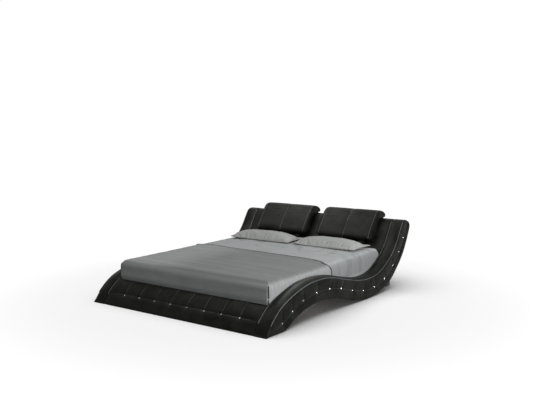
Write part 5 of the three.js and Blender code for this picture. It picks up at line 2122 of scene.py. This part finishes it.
@dataclass
class Studio:
    """The camera, floor and lamps."""

    eye: Triple = (4.3777, -5.8178, 1.684)
    azimuth: float = 36.409
    pitch: float = 5.732
    lens: float = 48.27
    ambient: float = 0.2
    floor_near: float = 0.96
    floor_glow: float = 0.03
    floor_bounce: float = 0.46
    floor_size: float = 60.0
    fade_start: float = 1.4
    fade_end: float = 3.2

    LAMPS = (
        Lamp("overhead", (0.0, 0.3, 5.2), (0.0, 0.3, 0.0), (8.0, 8.0), 240.0),
        Lamp("wash", (0.0, 0.3, 5.2), (0.0, 0.3, 0.0), (8.0, 8.0), 215.0, "INCLUDE"),
        Lamp("side", (4.9, -1.4, 1.5), (0.9, -0.5, 0.35), (2.6, 1.8), 255.0, "EXCLUDE"),
        Lamp("gloss", (-0.75, 0.1, 2.1), (0.1, 1.0, 0.6), (2.3, 1.5), 54.0, "EXCLUDE", True),
        Lamp("rim", (-1.1, 1.3, 2.5), (1.0, -0.5, 0.35), (1.2, 1.2), 18.0, "EXCLUDE", True),
    )
    BEDDING = ("fitted_sheet_cloth", "coverlet_cloth", "left_pillow_case", "right_pillow_case")

    def camera(self) -> None:
        """Sets the camera at the photograph's viewing angle."""
        data = bpy.data.cameras.new("camera")
        data.lens = self.lens
        data.sensor_width = 36.0
        camera = new_object("camera", data)
        camera.location = self.eye
        camera.rotation_euler = (math.radians(90 - self.pitch), 0, math.radians(self.azimuth))
        bpy.context.scene.camera = camera

    def seen(self, graph: Graph) -> Socket:
        """1 for the rays that show the background, otherwise 0."""
        path = graph.add("ShaderNodeLightPath")
        shiny = graph.math("MAXIMUM", path.outputs["Is Glossy Ray"],
                           path.outputs["Is Transmission Ray"])
        return graph.math("MAXIMUM", path.outputs["Is Camera Ray"], shiny)

    def world(self) -> None:
        """A white background and a plain level of light from all round."""
        world = bpy.data.worlds.new("studio")
        world.use_nodes = True
        graph = Graph(world.node_tree)
        graph.set(world.node_tree.nodes["Background"], {
            "Color": rgb(1, 1, 1),
            "Strength": graph.mapped(self.seen(graph), 0.0, 1.0, self.ambient, 1.0),
        })
        bpy.context.scene.world = world

    def floor(self) -> Piece:
        """A pale floor that keeps the shadow and fades to white far away."""
        half = self.floor_size / 2
        corners = np.array([[-1, -1, 0], [1, -1, 0], [1, 1, 0], [-1, 1, 0]]) * half
        floor = built("floor", corners, [[0, 1, 2, 3]])
        material = bpy.data.materials.new("studio_floor")
        material.use_nodes = True
        graph = Graph(material.node_tree)
        vector = graph.add("ShaderNodeTexCoord").outputs["Object"]
        reach = graph.add("ShaderNodeVectorMath", {0: vector}, operation="LENGTH").outputs["Value"]
        far = graph.mapped(reach, self.fade_start, self.fade_end, 0.0, 1.0)
        near = graph.math("SUBTRACT", 1.0, far)
        seen = self.seen(graph)
        pale = graph.mapped(seen, 0.0, 1.0, self.floor_bounce, self.floor_near)
        glow = graph.math("MULTIPLY", seen, graph.math("ADD", far, self.floor_glow))
        graph.set(material.node_tree.nodes["Principled BSDF"], {
            "Base Color": graph.grey(graph.math("MULTIPLY", pale, near)),
            "Roughness": 1.0,
            "Specular IOR Level": 0.0,
            "Emission Color": graph.grey(glow),
            "Emission Strength": 1.0,
        })
        floor.data.materials.append(material)
        return floor

    def spare_cloth(self) -> None:
        """Keeps the lamps that only give gloss off the bedding."""
        gloss = [lamp.name for lamp in self.LAMPS if lamp.gloss_only]
        for name, lamp in itertools.product(self.BEDDING, gloss):
            link(bpy.data.objects[lamp], bpy.data.objects[name], "EXCLUDE")

    def build(self) -> None:
        """Sets up the whole studio."""
        self.camera()
        self.world()
        floor = self.floor()
        for lamp in self.LAMPS:
            lamp.build(floor)
        bpy.context.scene.view_settings.view_transform = "Standard"


def main() -> None:
    """Builds the pieces in order and reports each one."""
    logging.basicConfig(level=logging.INFO, format="%(name)s: %(message)s")
    studio = Studio()
    studio.build()
    pieces = [
        SideRail(Side.RIGHT), SideRail(Side.LEFT), Footboard(), Headboard(),
        Headrest(Side.LEFT, -0.406), Headrest(Side.RIGHT, 0.434),
        Mattress(), FittedSheet(), Coverlet(),
        Pillow(Side.LEFT, -0.42, 0.8), Pillow(Side.RIGHT, 0.423, 0.75), Carcass(),
    ]
    for piece in pieces:
        LOG.info("building %s", type(piece).__name__)
        piece.build()
    studio.spare_cloth()


if __name__ == "__main__":
    main()
